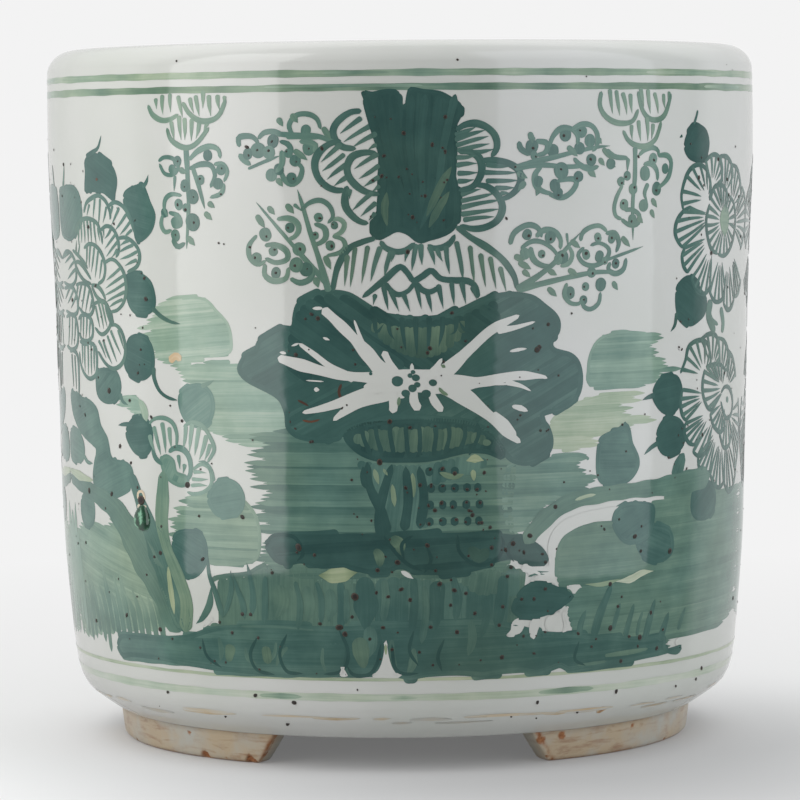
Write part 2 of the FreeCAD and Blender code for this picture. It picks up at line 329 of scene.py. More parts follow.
def thrown_wander(tree, position):
    """Nodes that give how far the thrown wall strays outwards at a place: a slow wander round
    the pot and faint level throwing marks."""
    slow = clouds(tree, position, 9.0, 1.0)
    squashed = aim(tree, "MULTIPLY", position, (1.5, 1.5, 60.0))
    marks = clouds(tree, squashed, 2.0, 2.0)
    slow_mm = calc(tree, "MULTIPLY_ADD", slow, 0.0012, -0.0006)
    marks_mm = calc(tree, "MULTIPLY_ADD", marks, 0.00025, -0.000125)
    return calc(tree, "ADD", slow_mm, marks_mm)


def push_out(tree, geometry, position, amount):
    """Nodes that move a geometry straight out from the pot's axis by an amount."""
    level = aim(tree, "MULTIPLY", position, (1, 1, 0))
    outward = aim(tree, "NORMALIZE", level)
    offset = scaled(tree, outward, amount)
    return add_node(tree, "GeometryNodeSetPosition", Geometry=geometry, Offset=offset).outputs[0]


def turning_tree():
    """Turns a section, drawn in X and Y as radius and height, about the upright axis."""
    tree, given, wanted = new_geometry_tree("turned_on_the_wheel", [("Turns", "Int"), ("Glaze", "Material")])
    section = add_node(tree, "GeometryNodeMeshToCurve", Mesh=given["Geometry"]).outputs[0]
    wheel = add_node(tree, "GeometryNodeCurvePrimitiveCircle", Resolution=given["Turns"],
                     Radius=1e-6).outputs[0]
    turned = add_node(tree, "GeometryNodeCurveToMesh", Curve=wheel, Profile_Curve=section).outputs[0]
    upright = add_node(tree, "GeometryNodeTransform", Geometry=turned, Scale=(1, 1, -1)).outputs[0]
    place = add_node(tree, "GeometryNodeInputPosition").outputs[0]
    wander = thrown_wander(tree, place)
    uneven = push_out(tree, upright, place, wander)
    smooth = add_node(tree, "GeometryNodeSetShadeSmooth", Geometry=uneven).outputs[0]
    real = add_node(tree, "GeometryNodeRealizeInstances", Geometry=smooth).outputs[0]
    glazed = add_node(tree, "GeometryNodeSetMaterial", Geometry=real, Material=given["Glaze"]).outputs[0]
    tree.links.new(glazed, wanted["Geometry"])
    return tree


def run_tree(thing, tree, name, **values):
    """Gives an object a tree with its inputs set, and turns what comes out into a plain mesh
    object of the given name."""
    modifier = thing.modifiers.new("made", "NODES")
    modifier.node_group = tree
    for label, value in values.items():
        socket = tree.interface.items_tree[label.replace("_", " ")]
        modifier[socket.identifier] = value
    bpy.context.view_layer.update()
    evaluated = thing.evaluated_get(bpy.context.evaluated_depsgraph_get())
    mesh = bpy.data.meshes.new_from_object(evaluated)
    made = in_scene(name, mesh)
    mesh.name = name
    bpy.data.objects.remove(thing)
    return made


def outward_facing(thing):
    """Merges doubled points and turns every face outwards."""
    work = bmesh.new()
    work.from_mesh(thing.data)
    bmesh.ops.remove_doubles(work, verts=work.verts, dist=1e-7)
    bmesh.ops.recalc_face_normals(work, faces=work.faces)
    work.to_mesh(thing.data)
    work.free()


GLAZE_WHITE = rgb(204, 205, 201)


def glaze_coat(tree, colour, roughness=0.09, flowed=False):
    """The clear coat that every glazed surface of the pot shares, with its faint orange peel. Where
    it has flowed level over paint, the edges of the paint don't show in its gloss."""
    place = object_place(tree)
    ripple = clouds(tree, place, 55.0, 2.0, Roughness=0.45)
    bump = add_node(tree, "ShaderNodeBump", Strength=0.10, Distance=0.002, Height=ripple)
    if flowed:
        faces = add_node(tree, "ShaderNodeNewGeometry").outputs
        level = aim(tree, "MULTIPLY", place, (1, 1, 0))
        outward = aim(tree, "NORMALIZE", level)
        leaning = aim(tree, "ADD", outward, (0, 0, -0.04))
        squarely = aim(tree, "DOT_PRODUCT", faces["True Normal"], outward)
        top_side = calc(tree, "GREATER_THAN", squarely, 0.75)
        even = add_node(tree, "ShaderNodeMix", {"data_type": "VECTOR"}, in0=top_side, in4=leaning,
                        in5=faces["Normal"]).outputs[1]
        tree.links.new(even, bump.inputs["Normal"])
    surface = add_node(tree, "ShaderNodeBsdfPrincipled", Base_Color=colour, Roughness=roughness, IOR=1.6,
                       Normal=bump.outputs[0])
    add_node(tree, "ShaderNodeOutputMaterial", Surface=surface.outputs[0])
    return surface


def glaze_colour(tree):
    """White glaze, a little greyer and greener where it pools."""
    place = object_place(tree)
    cloud = clouds(tree, place, 11.0, 3.0)
    pooled = remap(tree, cloud, 0.35, 0.7)
    colour = blend(tree, pooled, GLAZE_WHITE, rgb(195, 198, 191))
    return colour


def make_glaze():
    """Plain white glaze."""
    material, tree = new_material("white_glaze")
    glaze_coat(tree, glaze_colour(tree))
    return material


white_glaze = make_glaze()
turned = turning_tree()
section = line_object("section", [(r, z, 0) for r, z in pot_section()], True)
pot = run_tree(section, turned, "pot_body", Turns=320, Glaze=white_glaze)
outward_facing(pot)
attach(pot, "root")
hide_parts("pot_wall", "lip_ring", "floor_slab")

# ================================================================ bracket feet
# Three lugs, what is left of a turned foot ring after its arches were cut. Their glaze ran thin
# over tan clay; the edges are rubbed, and chips along the bottom show the bare, rusty body.

FOOT_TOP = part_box("foot_back")[1][2]
FOOT_FACE = 0.1372  # radius of the outer face, at the chips
FOOT_HALF_SWEEP = math.radians(34.8)  # at the base; the ends lean in below it
END_LEAN = 0.0096
SOLE_RADIUS = 0.137


def worn_foot(node, turn, chips):
    """One foot, its edges rubbed round and its chips knocked out. turn is its middle's angle from
    the front, and each chip is an angle, a height in mm, a radius and a depth in mm."""
    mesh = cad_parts[node].data.copy()
    mesh.materials.clear()
    rough = in_scene("rough", mesh)
    outward_facing(rough)
    remesh = rough.modifiers.new("clay", "REMESH")
    remesh.mode = "VOXEL"
    remesh.voxel_size = 0.0009
    rub = rough.modifiers.new("rub", "SMOOTH")
    rub.factor = 0.5
    rub.iterations = 5
    bpy.context.view_layer.update()
    foot_mesh = bpy.data.meshes.new_from_object(rough.evaluated_get(bpy.context.evaluated_depsgraph_get()))
    bpy.data.objects.remove(rough)
    place = np.empty(len(foot_mesh.vertices) * 3, dtype=np.float32)
    foot_mesh.vertices.foreach_get("co", place)
    place = place.reshape(-1, 3).astype(float)
    low, high = place[:, 2].min(), place[:, 2].max()
    place[:, 2] = (place[:, 2] - low) / (high - low) * (FOOT_TOP + 0.0002)
    radius = np.hypot(place[:, 0], place[:, 1])
    angle = np.arctan2(place[:, 0], -place[:, 1])
    outward = np.stack([place[:, 0], place[:, 1], np.zeros(len(place))], 1) / radius[:, None]
    grain = np.array([noise.noise(Vector(p) * 90) for p in place])
    speck = np.array([noise.noise(Vector(p) * 420) for p in place])
    below_top = np.clip((FOOT_TOP - place[:, 2]) / 0.002, 0, 1)
    place -= outward * ((0.25 + 0.25 * grain) * 0.001 * below_top)[:, None]
    bare = np.clip((0.0011 - place[:, 2]) / 0.0007 + 0.8 * speck, 0, 1) * 0.6
    from_middle = (angle - math.radians(turn) + math.pi) % (2 * math.pi) - math.pi
    end = FOOT_HALF_SWEEP - END_LEAN / SOLE_RADIUS * (1 - place[:, 2] / FOOT_TOP) - np.abs(from_middle)
    corner = np.exp(-((end * SOLE_RADIUS * 1000 - 1.4) / 1.1) ** 2) * (radius > 0.1335)
    bare = np.maximum(bare, np.clip(corner * (0.9 + 1.6 * grain + 0.8 * speck), 0, 1))
    for chip_turn, height, size, depth in chips:
        a = math.radians(chip_turn)
        centre = np.array([math.sin(a) * FOOT_FACE, -math.cos(a) * FOOT_FACE, height / 1000])
        reach = np.linalg.norm((place - centre) * (1, 1, 1.2), axis=1) / (size / 1000) + 0.35 * speck
        bite = np.clip(1 - reach**2, 0, 1)
        place -= outward * (bite * depth * 0.001)[:, None]
        place[:, 2] += bite * depth * 0.0008 * (place[:, 2] < 0.003)
        bare = np.maximum(bare, np.clip(bite * 3.0, 0, 1))
    foot_mesh.vertices.foreach_set("co", place.astype(np.float32).ravel())
    foot_mesh.attributes.new("bare", "FLOAT", "POINT").data.foreach_set("value", bare.astype(np.float32))
    foot_mesh.polygons.foreach_set("use_smooth", [True] * len(foot_mesh.polygons))
    foot_mesh.materials.append(thin_glaze)
    foot = in_scene("worn_" + node, foot_mesh)
    foot_mesh.name = foot.name
    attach(foot, "root")
    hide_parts(node)


def attribute(tree, name):
    """A value that each point of the mesh carries."""
    return add_node(tree, "ShaderNodeAttribute", {"attribute_name": name}).outputs["Fac"]


def make_thin_glaze():
    """Thin glaze over tan clay, wiped round the foot in streaks, with rust where it is bare, and darker
    brown along the top where it meets the body: partly stain, partly painted shade of the crevice.
    """
    material, tree = new_material("thin_glaze")
    place = object_place(tree)
    parts = add_node(tree, "ShaderNodeSeparateXYZ", Vector=place).outputs
    turn = calc(tree, "ARCTAN2", parts[0], parts[1])
    wiped = add_node(tree, "ShaderNodeCombineXYZ", X=turn, Z=parts[2]).outputs[0]
    stretched = add_node(tree, "ShaderNodeMapping", Vector=wiped, Scale=(5.0, 1.0, 190.0)).outputs[0]
    streak = clouds(tree, stretched, 1.6, 5.0, Roughness=0.62, Distortion=0.4)
    cloud = clouds(tree, place, 34.0, 4.0, Roughness=0.6)
    grit = clouds(tree, place, 900.0, 2.0)
    bare = attribute(tree, "bare")
    thin = remap(tree, cloud, 0.36, 0.56)
    colour = blend(tree, thin, rgb(188, 186, 176), rgb(192, 174, 146))
    stained = remap(tree, streak, 0.50, 0.66, 0.0, 0.80)
    patchy = calc(tree, "MULTIPLY", stained, thin)
    colour = blend(tree, patchy, colour, rgb(158, 122, 96))
    # darker brown along the foot's top, under the body: partly a stain, partly painted shade of the crevice
    crevice_stain_and_shade = remap(tree, parts[2], 0.0118, 0.0142, 0.0, 0.7)
    crevice_stain_and_shade = calc(tree, "MULTIPLY", crevice_stain_and_shade, streak)
    colour = blend(tree, crevice_stain_and_shade, colour, rgb(120, 92, 70))
    rusty = blend(tree, grit, rgb(112, 62, 36), rgb(196, 138, 92))
    colour = blend(tree, bare, colour, rusty)
    gloss = remap(tree, bare, 0.0, 1.0, 0.30, 0.85)
    bump = add_node(tree, "ShaderNodeBump", Strength=0.35, Distance=0.0006, Height=cloud).outputs[0]
    fine = add_node(tree, "ShaderNodeBump", Strength=0.25, Distance=0.0002, Height=grit,
                    Normal=bump).outputs[0]
    surface = add_node(tree, "ShaderNodeBsdfPrincipled", Base_Color=colour, Roughness=gloss, IOR=1.5,
                       Normal=fine).outputs[0]
    add_node(tree, "ShaderNodeOutputMaterial", Surface=surface)
    return material


thin_glaze = make_thin_glaze()
worn_foot("foot_front_left", -60, [
    (-43.1, 1.0, 3.4, 1.3), (-31.5, 0.8, 3.6, 1.4), (-37.4, 0.6, 1.4, 0.6), (-27.2, 9, 1.6, 0.5),
    (-70, 0.6, 2.0, 0.7), (-47, 11.5, 1.5, 0.4),
])
worn_foot("foot_front_right", 60, [
    (26.6, 10.5, 2.4, 0.8), (28.0, 2.0, 1.8, 0.7), (31, 12.0, 2.6, 0.3), (50, 11.8, 1.6, 0.3),
    (88, 9, 3.2, 0.8), (64, 0.6, 1.8, 0.6),
])
worn_foot("foot_back", 180, [
    (150, 1.0, 3.0, 1.2), (171, 0.6, 1.8, 0.8), (-163, 0.8, 3.4, 1.2), (-150, 10, 2.2, 0.6),
])

# ================================================================ painted rings
# Two rings under the lip, two above the heel and a rust-brown one along the heel's edge, drawn
# with a loaded brush held still while the pot turned on the wheel. Green underglaze: it lies
# under the same clear gloss as the white.

PAINTING_RADIUS = 0.165  # the painting is laid out in millimetres round the wall at this radius
ROUND = 2000 * math.pi * PAINTING_RADIUS
WASH, BODY, LINE, RESERVE = 0.03, 0.08, 0.13, 0.18  # how proud each layer of paint is, mm
RUST = 2.0  # the tint of iron; green paint has a tint from 0, to 1 where it has fired olive
BACK_NUMBERS = 2000  # strokes drawn again are numbered from here, so that their streaks differ
chance = random.Random(8)
strokes = []
filled = []


def brush(points, width, ink, start=0.0, finish=0.0, tint=0.0, layer=LINE, step=1.2, over=None):
    """One brush stroke along a smooth line through points, in millimetres round the wall and up it.
    Its width and its ink, from 0 for bare ground to 1 for darkest, are one number each, or several
    spread along it. over is how far it lies above its layer. It comes to a point over the lengths
    start and finish, and is round where they are 0."""
    line = smooth_line(points, 8) if len(points) > 2 else np.array(points, dtype=float)
    gone = np.concatenate([[0], np.cumsum(np.hypot(*np.diff(line, axis=0).T))])
    length = gone[-1]
    widths = np.atleast_1d(np.array(width, dtype=float))
    radius = min(widths.mean() / 2, length / 2)
    near_end = radius * np.array([0.03, 0.14, 0.35, 0.65])
    places = np.concatenate([np.linspace(0, length, max(3, int(length / step) + 1)), near_end,
                             length - near_end])
    places = np.unique(np.round(places, 2))
    half = np.interp(places / length, np.linspace(0, 1, len(widths)), widths / 2)
    half *= 1 + 0.06 * np.sin(places * chance.uniform(0.2, 0.5) + chance.uniform(0, 6))
    for run, taper in ((places, start), (length - places, finish)):
        reach = np.clip(run / (taper or radius), 0, 1)
        half *= reach**0.7 if taper else np.sqrt(1 - (1 - reach) ** 2)
    number = len(strokes)
    lift = layer + (0.006 * (number % 7) if over is None else over)
    columns = [np.interp(places, gone, line[:, 0]), np.interp(places, gone, line[:, 1]),
               np.maximum(half, 0.03)]
    inks = np.atleast_1d(np.array(ink, dtype=float))
    columns.append(np.full(len(places), lift))
    columns.append(np.interp(places / length, np.linspace(0, 1, len(inks)), inks))
    columns += [np.full(len(places), value) for value in (tint, number)]
    strokes.append(np.stack(columns + [places], 1))


def closed_line(points, steps):
    """A smooth closed line through points."""
    p = np.array(points, dtype=float)
    return smooth_line([p[-1], *p, p[0], p[1]], steps)[steps : -steps - 1]


def fill(outline, ink, pitch=3.0, slant=0.0, ragged=(0, 0), rim=None, tint=0.0, layer=BODY, uneven=0.05):
    """Fills an outline with rows of strokes at a slant, then draws its edge. A side that is ragged
    ends in dry bristle marks of about that length. rim is the part of the outline that gets an
    edge, as two numbers of its points: all of it if None, and none if empty."""
    steps = 6
    filled.append(layer)
    coat = 0.017 * (len(filled) % 3)
    edge = closed_line(outline, steps)
    turn = math.radians(slant)
    level_way = np.array([[math.cos(turn), -math.sin(turn)], [math.sin(turn), math.cos(turn)]])
    flat = edge @ level_way
    low, high = flat[:, 1].min(), flat[:, 1].max()
    rows = max(1, round((high - low) / pitch))
    row_height = (high - low) / rows
    for row in range(rows):
        above = flat[:, 1] - (low + (row + 0.5) * row_height)
        crossed = (above < 0) != (np.roll(above, -1) < 0)
        onward = np.roll(flat[:, 0], -1) - flat[:, 0]
        runs = flat[:, 0] + onward * above / (above - np.roll(above, -1) + 1e-9)
        runs = np.sort(runs[crossed])
        for left, right in zip(runs[::2], runs[1::2]):
            left += ragged[0] * chance.uniform(-0.5, 0.9) if ragged[0] else row_height * 0.4
            right -= ragged[1] * chance.uniform(-0.5, 0.9) if ragged[1] else row_height * 0.4
            if right - left < row_height * 0.7:
                continue
            bow = chance.uniform(-0.3, 0.3)
            level = low + (row + 0.5) * row_height
            row_line = [(left, level), ((left + right) / 2, level + bow), (right, level)]
            brush(np.array(row_line) @ level_way.T, row_height * 1.45,
                  np.array(ink) + chance.uniform(-uneven, uneven), start=ragged[0] * 0.8,
                  finish=ragged[1] * 0.8, tint=tint, layer=layer, step=2.2, over=coat + 0.007 * (row % 2))
    if rim is None or rim:
        ahead = np.roll(edge, -1, axis=0) - np.roll(edge, 1, axis=0)
        ahead /= np.hypot(*ahead.T)[:, None] + 1e-9
        turned = np.sum(edge[:, 0] * np.roll(edge[:, 1], -1) - edge[:, 1] * np.roll(edge[:, 0], -1))
        inward = np.stack([-ahead[:, 1], ahead[:, 0]], 1) * (1 if turned > 0 else -1)
        inner = edge + inward * min(1.2, row_height * 0.45)
        if rim is None:
            inner = np.vstack([inner, inner[:2]])
        else:
            inner = inner[rim[0] * steps : rim[1] * steps + 1]
        brush(inner[::3], min(2.4, row_height * 0.9), np.mean(ink), tint=tint, layer=layer,
              over=coat + 0.013)


def named(tree, name, kind="FLOAT"):
    """A value that a geometry carries under a name."""
    return add_node(tree, "GeometryNodeInputNamedAttribute", {"data_type": kind},
                    Name=name).outputs["Attribute"]


def stored(tree, geometry, name, value, kind="FLOAT"):
    """Gives a geometry a value to carry under a name."""
    return add_node(tree, "GeometryNodeStoreNamedAttribute", {"data_type": kind, "domain": "POINT"},
                    Geometry=geometry, Name=name, Value=value).outputs[0]


def on_the_wall(tree, parts, form):
    """Nodes that find the place on the pot's outside for a place on the flat layout: the place, and
    the level way outwards there."""
    angle = calc(tree, "DIVIDE", parts[0], PAINTING_RADIUS)
    out = add_node(tree, "ShaderNodeCombineXYZ", X=calc(tree, "SINE", angle),
                   Y=calc(tree, "MULTIPLY", calc(tree, "COSINE", angle), -1.0)).outputs[0]
    height = add_node(tree, "ShaderNodeCombineXYZ", Z=parts[1]).outputs[0]
    outside = add_node(tree, "ShaderNodeVectorMath", {"operation": "MULTIPLY_ADD"}, in0=out,
                       in1=(0.2, 0.2, 0.2), in2=height).outputs[0]
    inwards = scaled(tree, out, -1.0)
    shape = add_node(tree, "GeometryNodeObjectInfo", Object=form).outputs["Geometry"]
    hit = add_node(tree, "GeometryNodeRaycast", Target_Geometry=shape, Source_Position=outside,
                   Ray_Direction=inwards, Ray_Length=0.1).outputs["Hit Position"]
    return hit, out


def brush_tree():
    """Turns lines drawn flat into ribbons of paint and wraps them onto the pot's outside."""
    tree, given, wanted = new_geometry_tree("brushed_on", [("Pot", "Object"), ("Paint", "Material")])
    place = add_node(tree, "GeometryNodeInputPosition").outputs[0]
    parts = add_node(tree, "ShaderNodeSeparateXYZ", Vector=place).outputs
    hexagon = add_node(tree, "GeometryNodeCurvePrimitiveCircle", Resolution=6,
                       Radius=1 / math.cos(math.radians(30))).outputs[0]
    turned = add_node(tree, "GeometryNodeTransform", Geometry=hexagon,
                      Rotation=(0, 0, math.radians(30))).outputs[0]
    profile = stored(tree, turned, "across", parts[0])
    profile = stored(tree, profile, "top", calc(tree, "GREATER_THAN", parts[1], 0.0))
    flat_profile = add_node(tree, "GeometryNodeTransform", Geometry=profile, Scale=(1, 0, 1)).outputs[0]
    lines = add_node(tree, "GeometryNodeMeshToCurve", Mesh=given["Geometry"]).outputs[0]
    level = add_node(tree, "GeometryNodeSetCurveNormal", {"mode": "Z_UP"}, Curve=lines).outputs[0]
    half = calc(tree, "MULTIPLY", named(tree, "half"), 0.001)
    ribbon = add_node(tree, "GeometryNodeCurveToMesh", Curve=level, Profile_Curve=flat_profile, Scale=half,
                      Fill_Caps=True).outputs[0]
    hit, out = on_the_wall(tree, parts, given["Pot"])
    proud = calc(tree, "MULTIPLY_ADD", named(tree, "lift"), 0.001, SUNK)
    proud = calc(tree, "MULTIPLY_ADD", named(tree, "top"), proud, -SUNK)
    skin = scaled(tree, out, proud)
    wrapped = add_node(tree, "GeometryNodeSetPosition", Geometry=ribbon,
                       Position=aim(tree, "ADD", hit, skin)).outputs[0]
    smooth = add_node(tree, "GeometryNodeSetShadeSmooth", Geometry=wrapped).outputs[0]
    gentle = calc(tree, "LESS_THAN", add_node(tree, "GeometryNodeInputMeshEdgeAngle").outputs[0], 0.5)
    crisp = add_node(tree, "GeometryNodeSetShadeSmooth", {"domain": "EDGE"}, Geometry=smooth,
                     Shade_Smooth=gentle).outputs[0]
    real = add_node(tree, "GeometryNodeRealizeInstances", Geometry=crisp).outputs[0]
    painted = add_node(tree, "GeometryNodeSetMaterial", Geometry=real, Material=given["Paint"]).outputs[0]
    tree.links.new(painted, wanted["Geometry"])
    return tree


def colour_ramp(tree, value, stops):
    """Colours spread over the values from 0 to 1, each at its own place."""
    ramp = add_node(tree, "ShaderNodeValToRGB", Fac=value)
    while len(ramp.color_ramp.elements) < len(stops):
        ramp.color_ramp.elements.new(0.5)
    for element, (position, colour) in zip(ramp.color_ramp.elements, stops):
        element.position = position
        element.color = colour
    return ramp.outputs[0]


def make_green_paint():
    """Copper-green underglaze: thin paint is pale, thick paint is nearly black-green, and the
    bristles leave streaks along each stroke. Some of it has fired olive, and the heel's line rust."""
    material, tree = new_material("green_paint")
    ink = attribute(tree, "ink")
    tint = attribute(tree, "tint")
    number = attribute(tree, "number")
    along = attribute(tree, "along")
    across = attribute(tree, "across")
    half = attribute(tree, "half")
    bristle = add_node(tree, "ShaderNodeCombineXYZ", X=calc(tree, "MULTIPLY", along, 0.035),
                       Y=calc(tree, "MULTIPLY", calc(tree, "MULTIPLY", across, half), 1.1),
                       Z=calc(tree, "MULTIPLY", number, 3.7)).outputs[0]
    streak = clouds(tree, bristle, 1.0, 2.0, Roughness=0.6)
    place = object_place(tree)
    blot = clouds(tree, place, 70.0, 3.0, Roughness=0.55)
    drift = clouds(tree, place, 17.0, 2.0)
    depth = calc(tree, "MULTIPLY_ADD", ink, -0.30, 0.36)
    streaked = calc(tree, "MULTIPLY_ADD", calc(tree, "SUBTRACT", streak, 0.5), depth, ink)
    blotted = calc(tree, "MULTIPLY_ADD", calc(tree, "SUBTRACT", blot, 0.5), 0.24, streaked)
    green = colour_ramp(tree, blotted, PAINT_GREEN)
    olive = colour_ramp(tree, blotted, PAINT_OLIVE)
    aged = calc(tree, "ADD", tint, calc(tree, "MULTIPLY_ADD", drift, 1.1, -0.48))
    turned_olive = add_node(tree, "ShaderNodeClamp", Value=aged).outputs[0]
    mixed = blend(tree, turned_olive, green, olive)
    rusty = remap(tree, tint, 1.5, 2.0)
    rust = colour_ramp(tree, blotted, PAINT_RUST)
    mixed = blend(tree, rusty, mixed, rust)
    covered = remap(tree, ink, 0.02, 0.12)
    shown = blend(tree, covered, glaze_colour(tree), mixed)
    glaze_coat(tree, shown, flowed=True)
    return material


SUNK = 0.00004  # metres: how deep the underside of the paint lies in the glaze
PAINT_GREEN = [
    (0.0, rgb(200, 206, 198)), (0.2, rgb(176, 191, 177)), (0.42, rgb(134, 161, 145)),
    (0.62, rgb(92, 126, 115)), (0.8, rgb(58, 94, 88)), (1.0, rgb(31, 68, 65)),
]
PAINT_OLIVE = [
    (0.0, rgb(204, 204, 184)), (0.2, rgb(186, 190, 162)), (0.42, rgb(146, 160, 126)),
    (0.62, rgb(106, 126, 96)), (0.8, rgb(68, 94, 76)), (1.0, rgb(36, 68, 56)),
]
PAINT_RUST = [
    (0.0, rgb(203, 202, 193)), (0.35, rgb(203, 186, 158)), (0.6, rgb(188, 154, 112)),
    (0.8, rgb(128, 84, 58)), (0.95, rgb(74, 52, 42)),
]
green_paint = make_green_paint()
brushed_on = brush_tree()
fine_section = line_object("section", [(r, z, 0) for r, z in pot_section()], True)
smooth_wall = run_tree(fine_section, turned, "smooth_wall", Turns=1280, Glaze=white_glaze)


# what is drawn again further round: left, right, bottom, top, how far round, and -1 if mirrored
PANELS = [
    (84, 226, 48, 204, 432, -1), (136, 226, 204, 300, 432, -1), (-215, -84, 50, 200, -416, -1),
    (-215, -118, 200, 290, -416, -1), (-80, 84, 40, 310, 518.35, -1), (-118, -80, 205, 310, 518.35, -1),
    (84, 118, 205, 310, 518.35, -1), (-120, -78, 234, 310, 446, 1), (-129, -86, 124, 162, 452, 1),
    (-116, -66, 92, 130, 448, 1), (84, 136, 234, 310, -478, 1), (-129, -86, 124, 162, -466, -1),
    (-116, -66, 92, 130, -464, -1),
]


def draw_again(panels):
    """Takes the strokes drawn since the last piece and draws those of each panel again, round the
    sides and the back, where the painter repeated the plants."""
    front = strokes.copy()
    strokes.clear()
    for number, (left, right, bottom, top, along, way) in enumerate(panels):
        for stroke in front:
            u, v = (stroke[0, :2] + stroke[-1, :2] + 2 * stroke[len(stroke) // 2, :2]) / 4
            if left < u < right and bottom < v < top:
                again = stroke.copy()
                again[:, 0] = along + way * again[:, 0]
                again[:, 3] += 0.003 * (number % 5)
                again[:, 6] = BACK_NUMBERS + len(strokes)
                strokes.append(again)


def lay_paint(name):
    """Makes one piece of the strokes drawn since the last one."""
    table = np.vstack(strokes)
    lengths = [len(stroke) for stroke in strokes]
    starts = np.concatenate([[0], np.cumsum(lengths)])
    edges = [(a + i, a + i + 1) for a, count in zip(starts, lengths) for i in range(count - 1)]
    mesh = bpy.data.meshes.new("strokes")
    mesh.from_pydata([(u / 1000, v / 1000, 0) for u, v in table[:, :2]], edges, [])
    for label, column in (("half", 2), ("lift", 3), ("ink", 4), ("tint", 5), ("number", 6), ("along", 7)):
        carried = mesh.attributes.new(label, "FLOAT", "POINT")
        carried.data.foreach_set("value", table[:, column].astype(np.float32))
    flat = in_scene("strokes", mesh)
    piece = run_tree(flat, brushed_on, name, Pot=smooth_wall, Paint=green_paint)
    outward_facing(piece)
    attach(piece, "root")
    return piece


def paint_all_round(name):
    """Makes one piece of the strokes drawn since the last one, and one of those that come again
    round the sides and the back."""
    lay_paint(name)
    draw_again(PANELS)
    lay_paint(name + "_round_the_back")
    strokes.clear()


def ring(height, width, ink, swing, tint=0.0):
    """A painted ring, whose ends meet at the back. The brush runs dry and is held to it again, so
    its ink swings above and below the middle value."""
    places = np.linspace(-ROUND / 2, ROUND / 2, 72)
    widths = [width * chance.uniform(0.86, 1.08) for place in places]
    swings = [swing * math.cos(place / PAINTING_RADIUS / 1000) for place in places]
    inks = [ink + swung + chance.uniform(-0.10, 0.10) for swung in swings]
    brush([(u, height + chance.uniform(-0.12, 0.12)) for u in places], widths, inks, tint=tint, layer=BODY,
          step=2.5)


def stain(u, length, height, width, ink):
    """A faint iron stain in the edge of the heel's turning."""
    brush([(u, height), (u + length / 2, height + chance.uniform(-0.4, 0.4)),
           (u + length, height + chance.uniform(-0.5, 0.5))],
          [width * 0.7, width, width * 0.6], [ink * 0.3, ink, ink * 0.3], start=1.2, finish=2.5, tint=RUST)


ring(314.7, 3.1, 0.34, 0.12, 0.35)
ring(308.4, 3.2, 0.46, 0.12, 0.40)
ring(43.7, 1.5, 0.27, 0.05, 0.6)
ring(35.4, 3.4, 0.14, 0.05, 0.25)
for u, height, length, width, ink in (
    (-60, 309.0, 70, 1.6, 0.66), (118, 314.6, 60, 1.9, 0.52), (-34, 314.9, 30, 1.4, 0.62),
    (-71, 35.2, 22, 2.6, 0.56), (64, 35.6, 30, 2.8, 0.60), (-8, 35.2, 14, 1.8, 0.42),
    (160, 308.4, 40, 2.0, 0.58), (-300, 314.8, 90, 1.8, 0.60), (280, 308.6, 80, 1.8, 0.58),
    (250, 35.4, 30, 2.4, 0.55), (-260, 35.6, 24, 2.6, 0.56), (420, 35.3, 34, 2.4, 0.52),
):
    brush([(u, height), (u + length / 2, height + 0.15), (u + length, height)],
          [width * 0.6, width, width * 0.7],
          [ink - 0.24, ink - 0.04, ink - 0.2], start=1.5, finish=3, tint=0.25)
u = -ROUND / 2
while u < ROUND / 2 - 20:
    length = chance.uniform(6, 34)
    stain(u, length, chance.choice((24.9, 24.4, 25.4, 22.6)), chance.uniform(0.7, 2.0),
          chance.uniform(0.10, 0.40))
    u += length * chance.uniform(0.5, 2.0)
for u, height, length, width, ink in (
    (-46, 25.2, 24, 1.4, 0.44), (-16, 25.0, 9, 1.4, 0.34), (28, 25.4, 40, 1.5, 0.36),
    (76, 25.4, 34, 1.6, 0.48), (100, 24.6, 6, 3.4, 0.8), (-120, 25.6, 30, 2.0, 0.22),
):
    stain(u, length, height, width, ink)
lay_paint("painted_rings")
strokes.clear()

# ================================================================ pale washes
# Thinned green, dragged level with a broad dry brush behind the plants to stand for ground and
# mist. Each starts full and round-ended and runs dry into separate bristle marks.

fill([(-131, 202), (-118, 212), (-105, 215.5), (-92, 215), (-86, 210), (-80, 204), (-78, 196),
     (-79.5, 190), (-90, 188), (-104, 184), (-118, 183.5), (-126, 188)], 0.38, pitch=1.7, slant=5,
     ragged=(7, 0), rim=(2, 8), layer=WASH, uneven=0.07)
fill([(-150, 166), (-146, 169), (-135, 169), (-131, 163), (-130, 160), (-138, 161), (-148, 163)], 0.42,
     pitch=1.4, ragged=(6, 0), rim=(1, 5), layer=WASH, uneven=0.08)
fill([(-108, 183), (-95, 186), (-80, 186.5), (-60, 180), (-45, 175), (-45, 150), (-60, 148), (-84, 151),
     (-100, 157), (-106, 170)], 0.44, pitch=1.7, slant=1, ragged=(6, 0), rim=(), layer=WASH, uneven=0.07)
fill([(-72, 152), (-60, 156), (-20, 158), (45, 150), (50, 120), (45, 92), (-10, 88), (-64, 92),
     (-68, 110), (-70, 132)], 0.69, pitch=1.8, ragged=(9, 0), rim=(), layer=WASH, uneven=0.08, tint=0.15)
fill([(-106, 124), (-96, 127), (-80, 128), (-68, 118), (-66, 104), (-70, 96), (-85, 94), (-97, 95),
     (-113, 100), (-114, 116)], 0.54, pitch=1.7, ragged=(6, 0), rim=(2, 7), layer=WASH, uneven=0.07,
     tint=0.2)
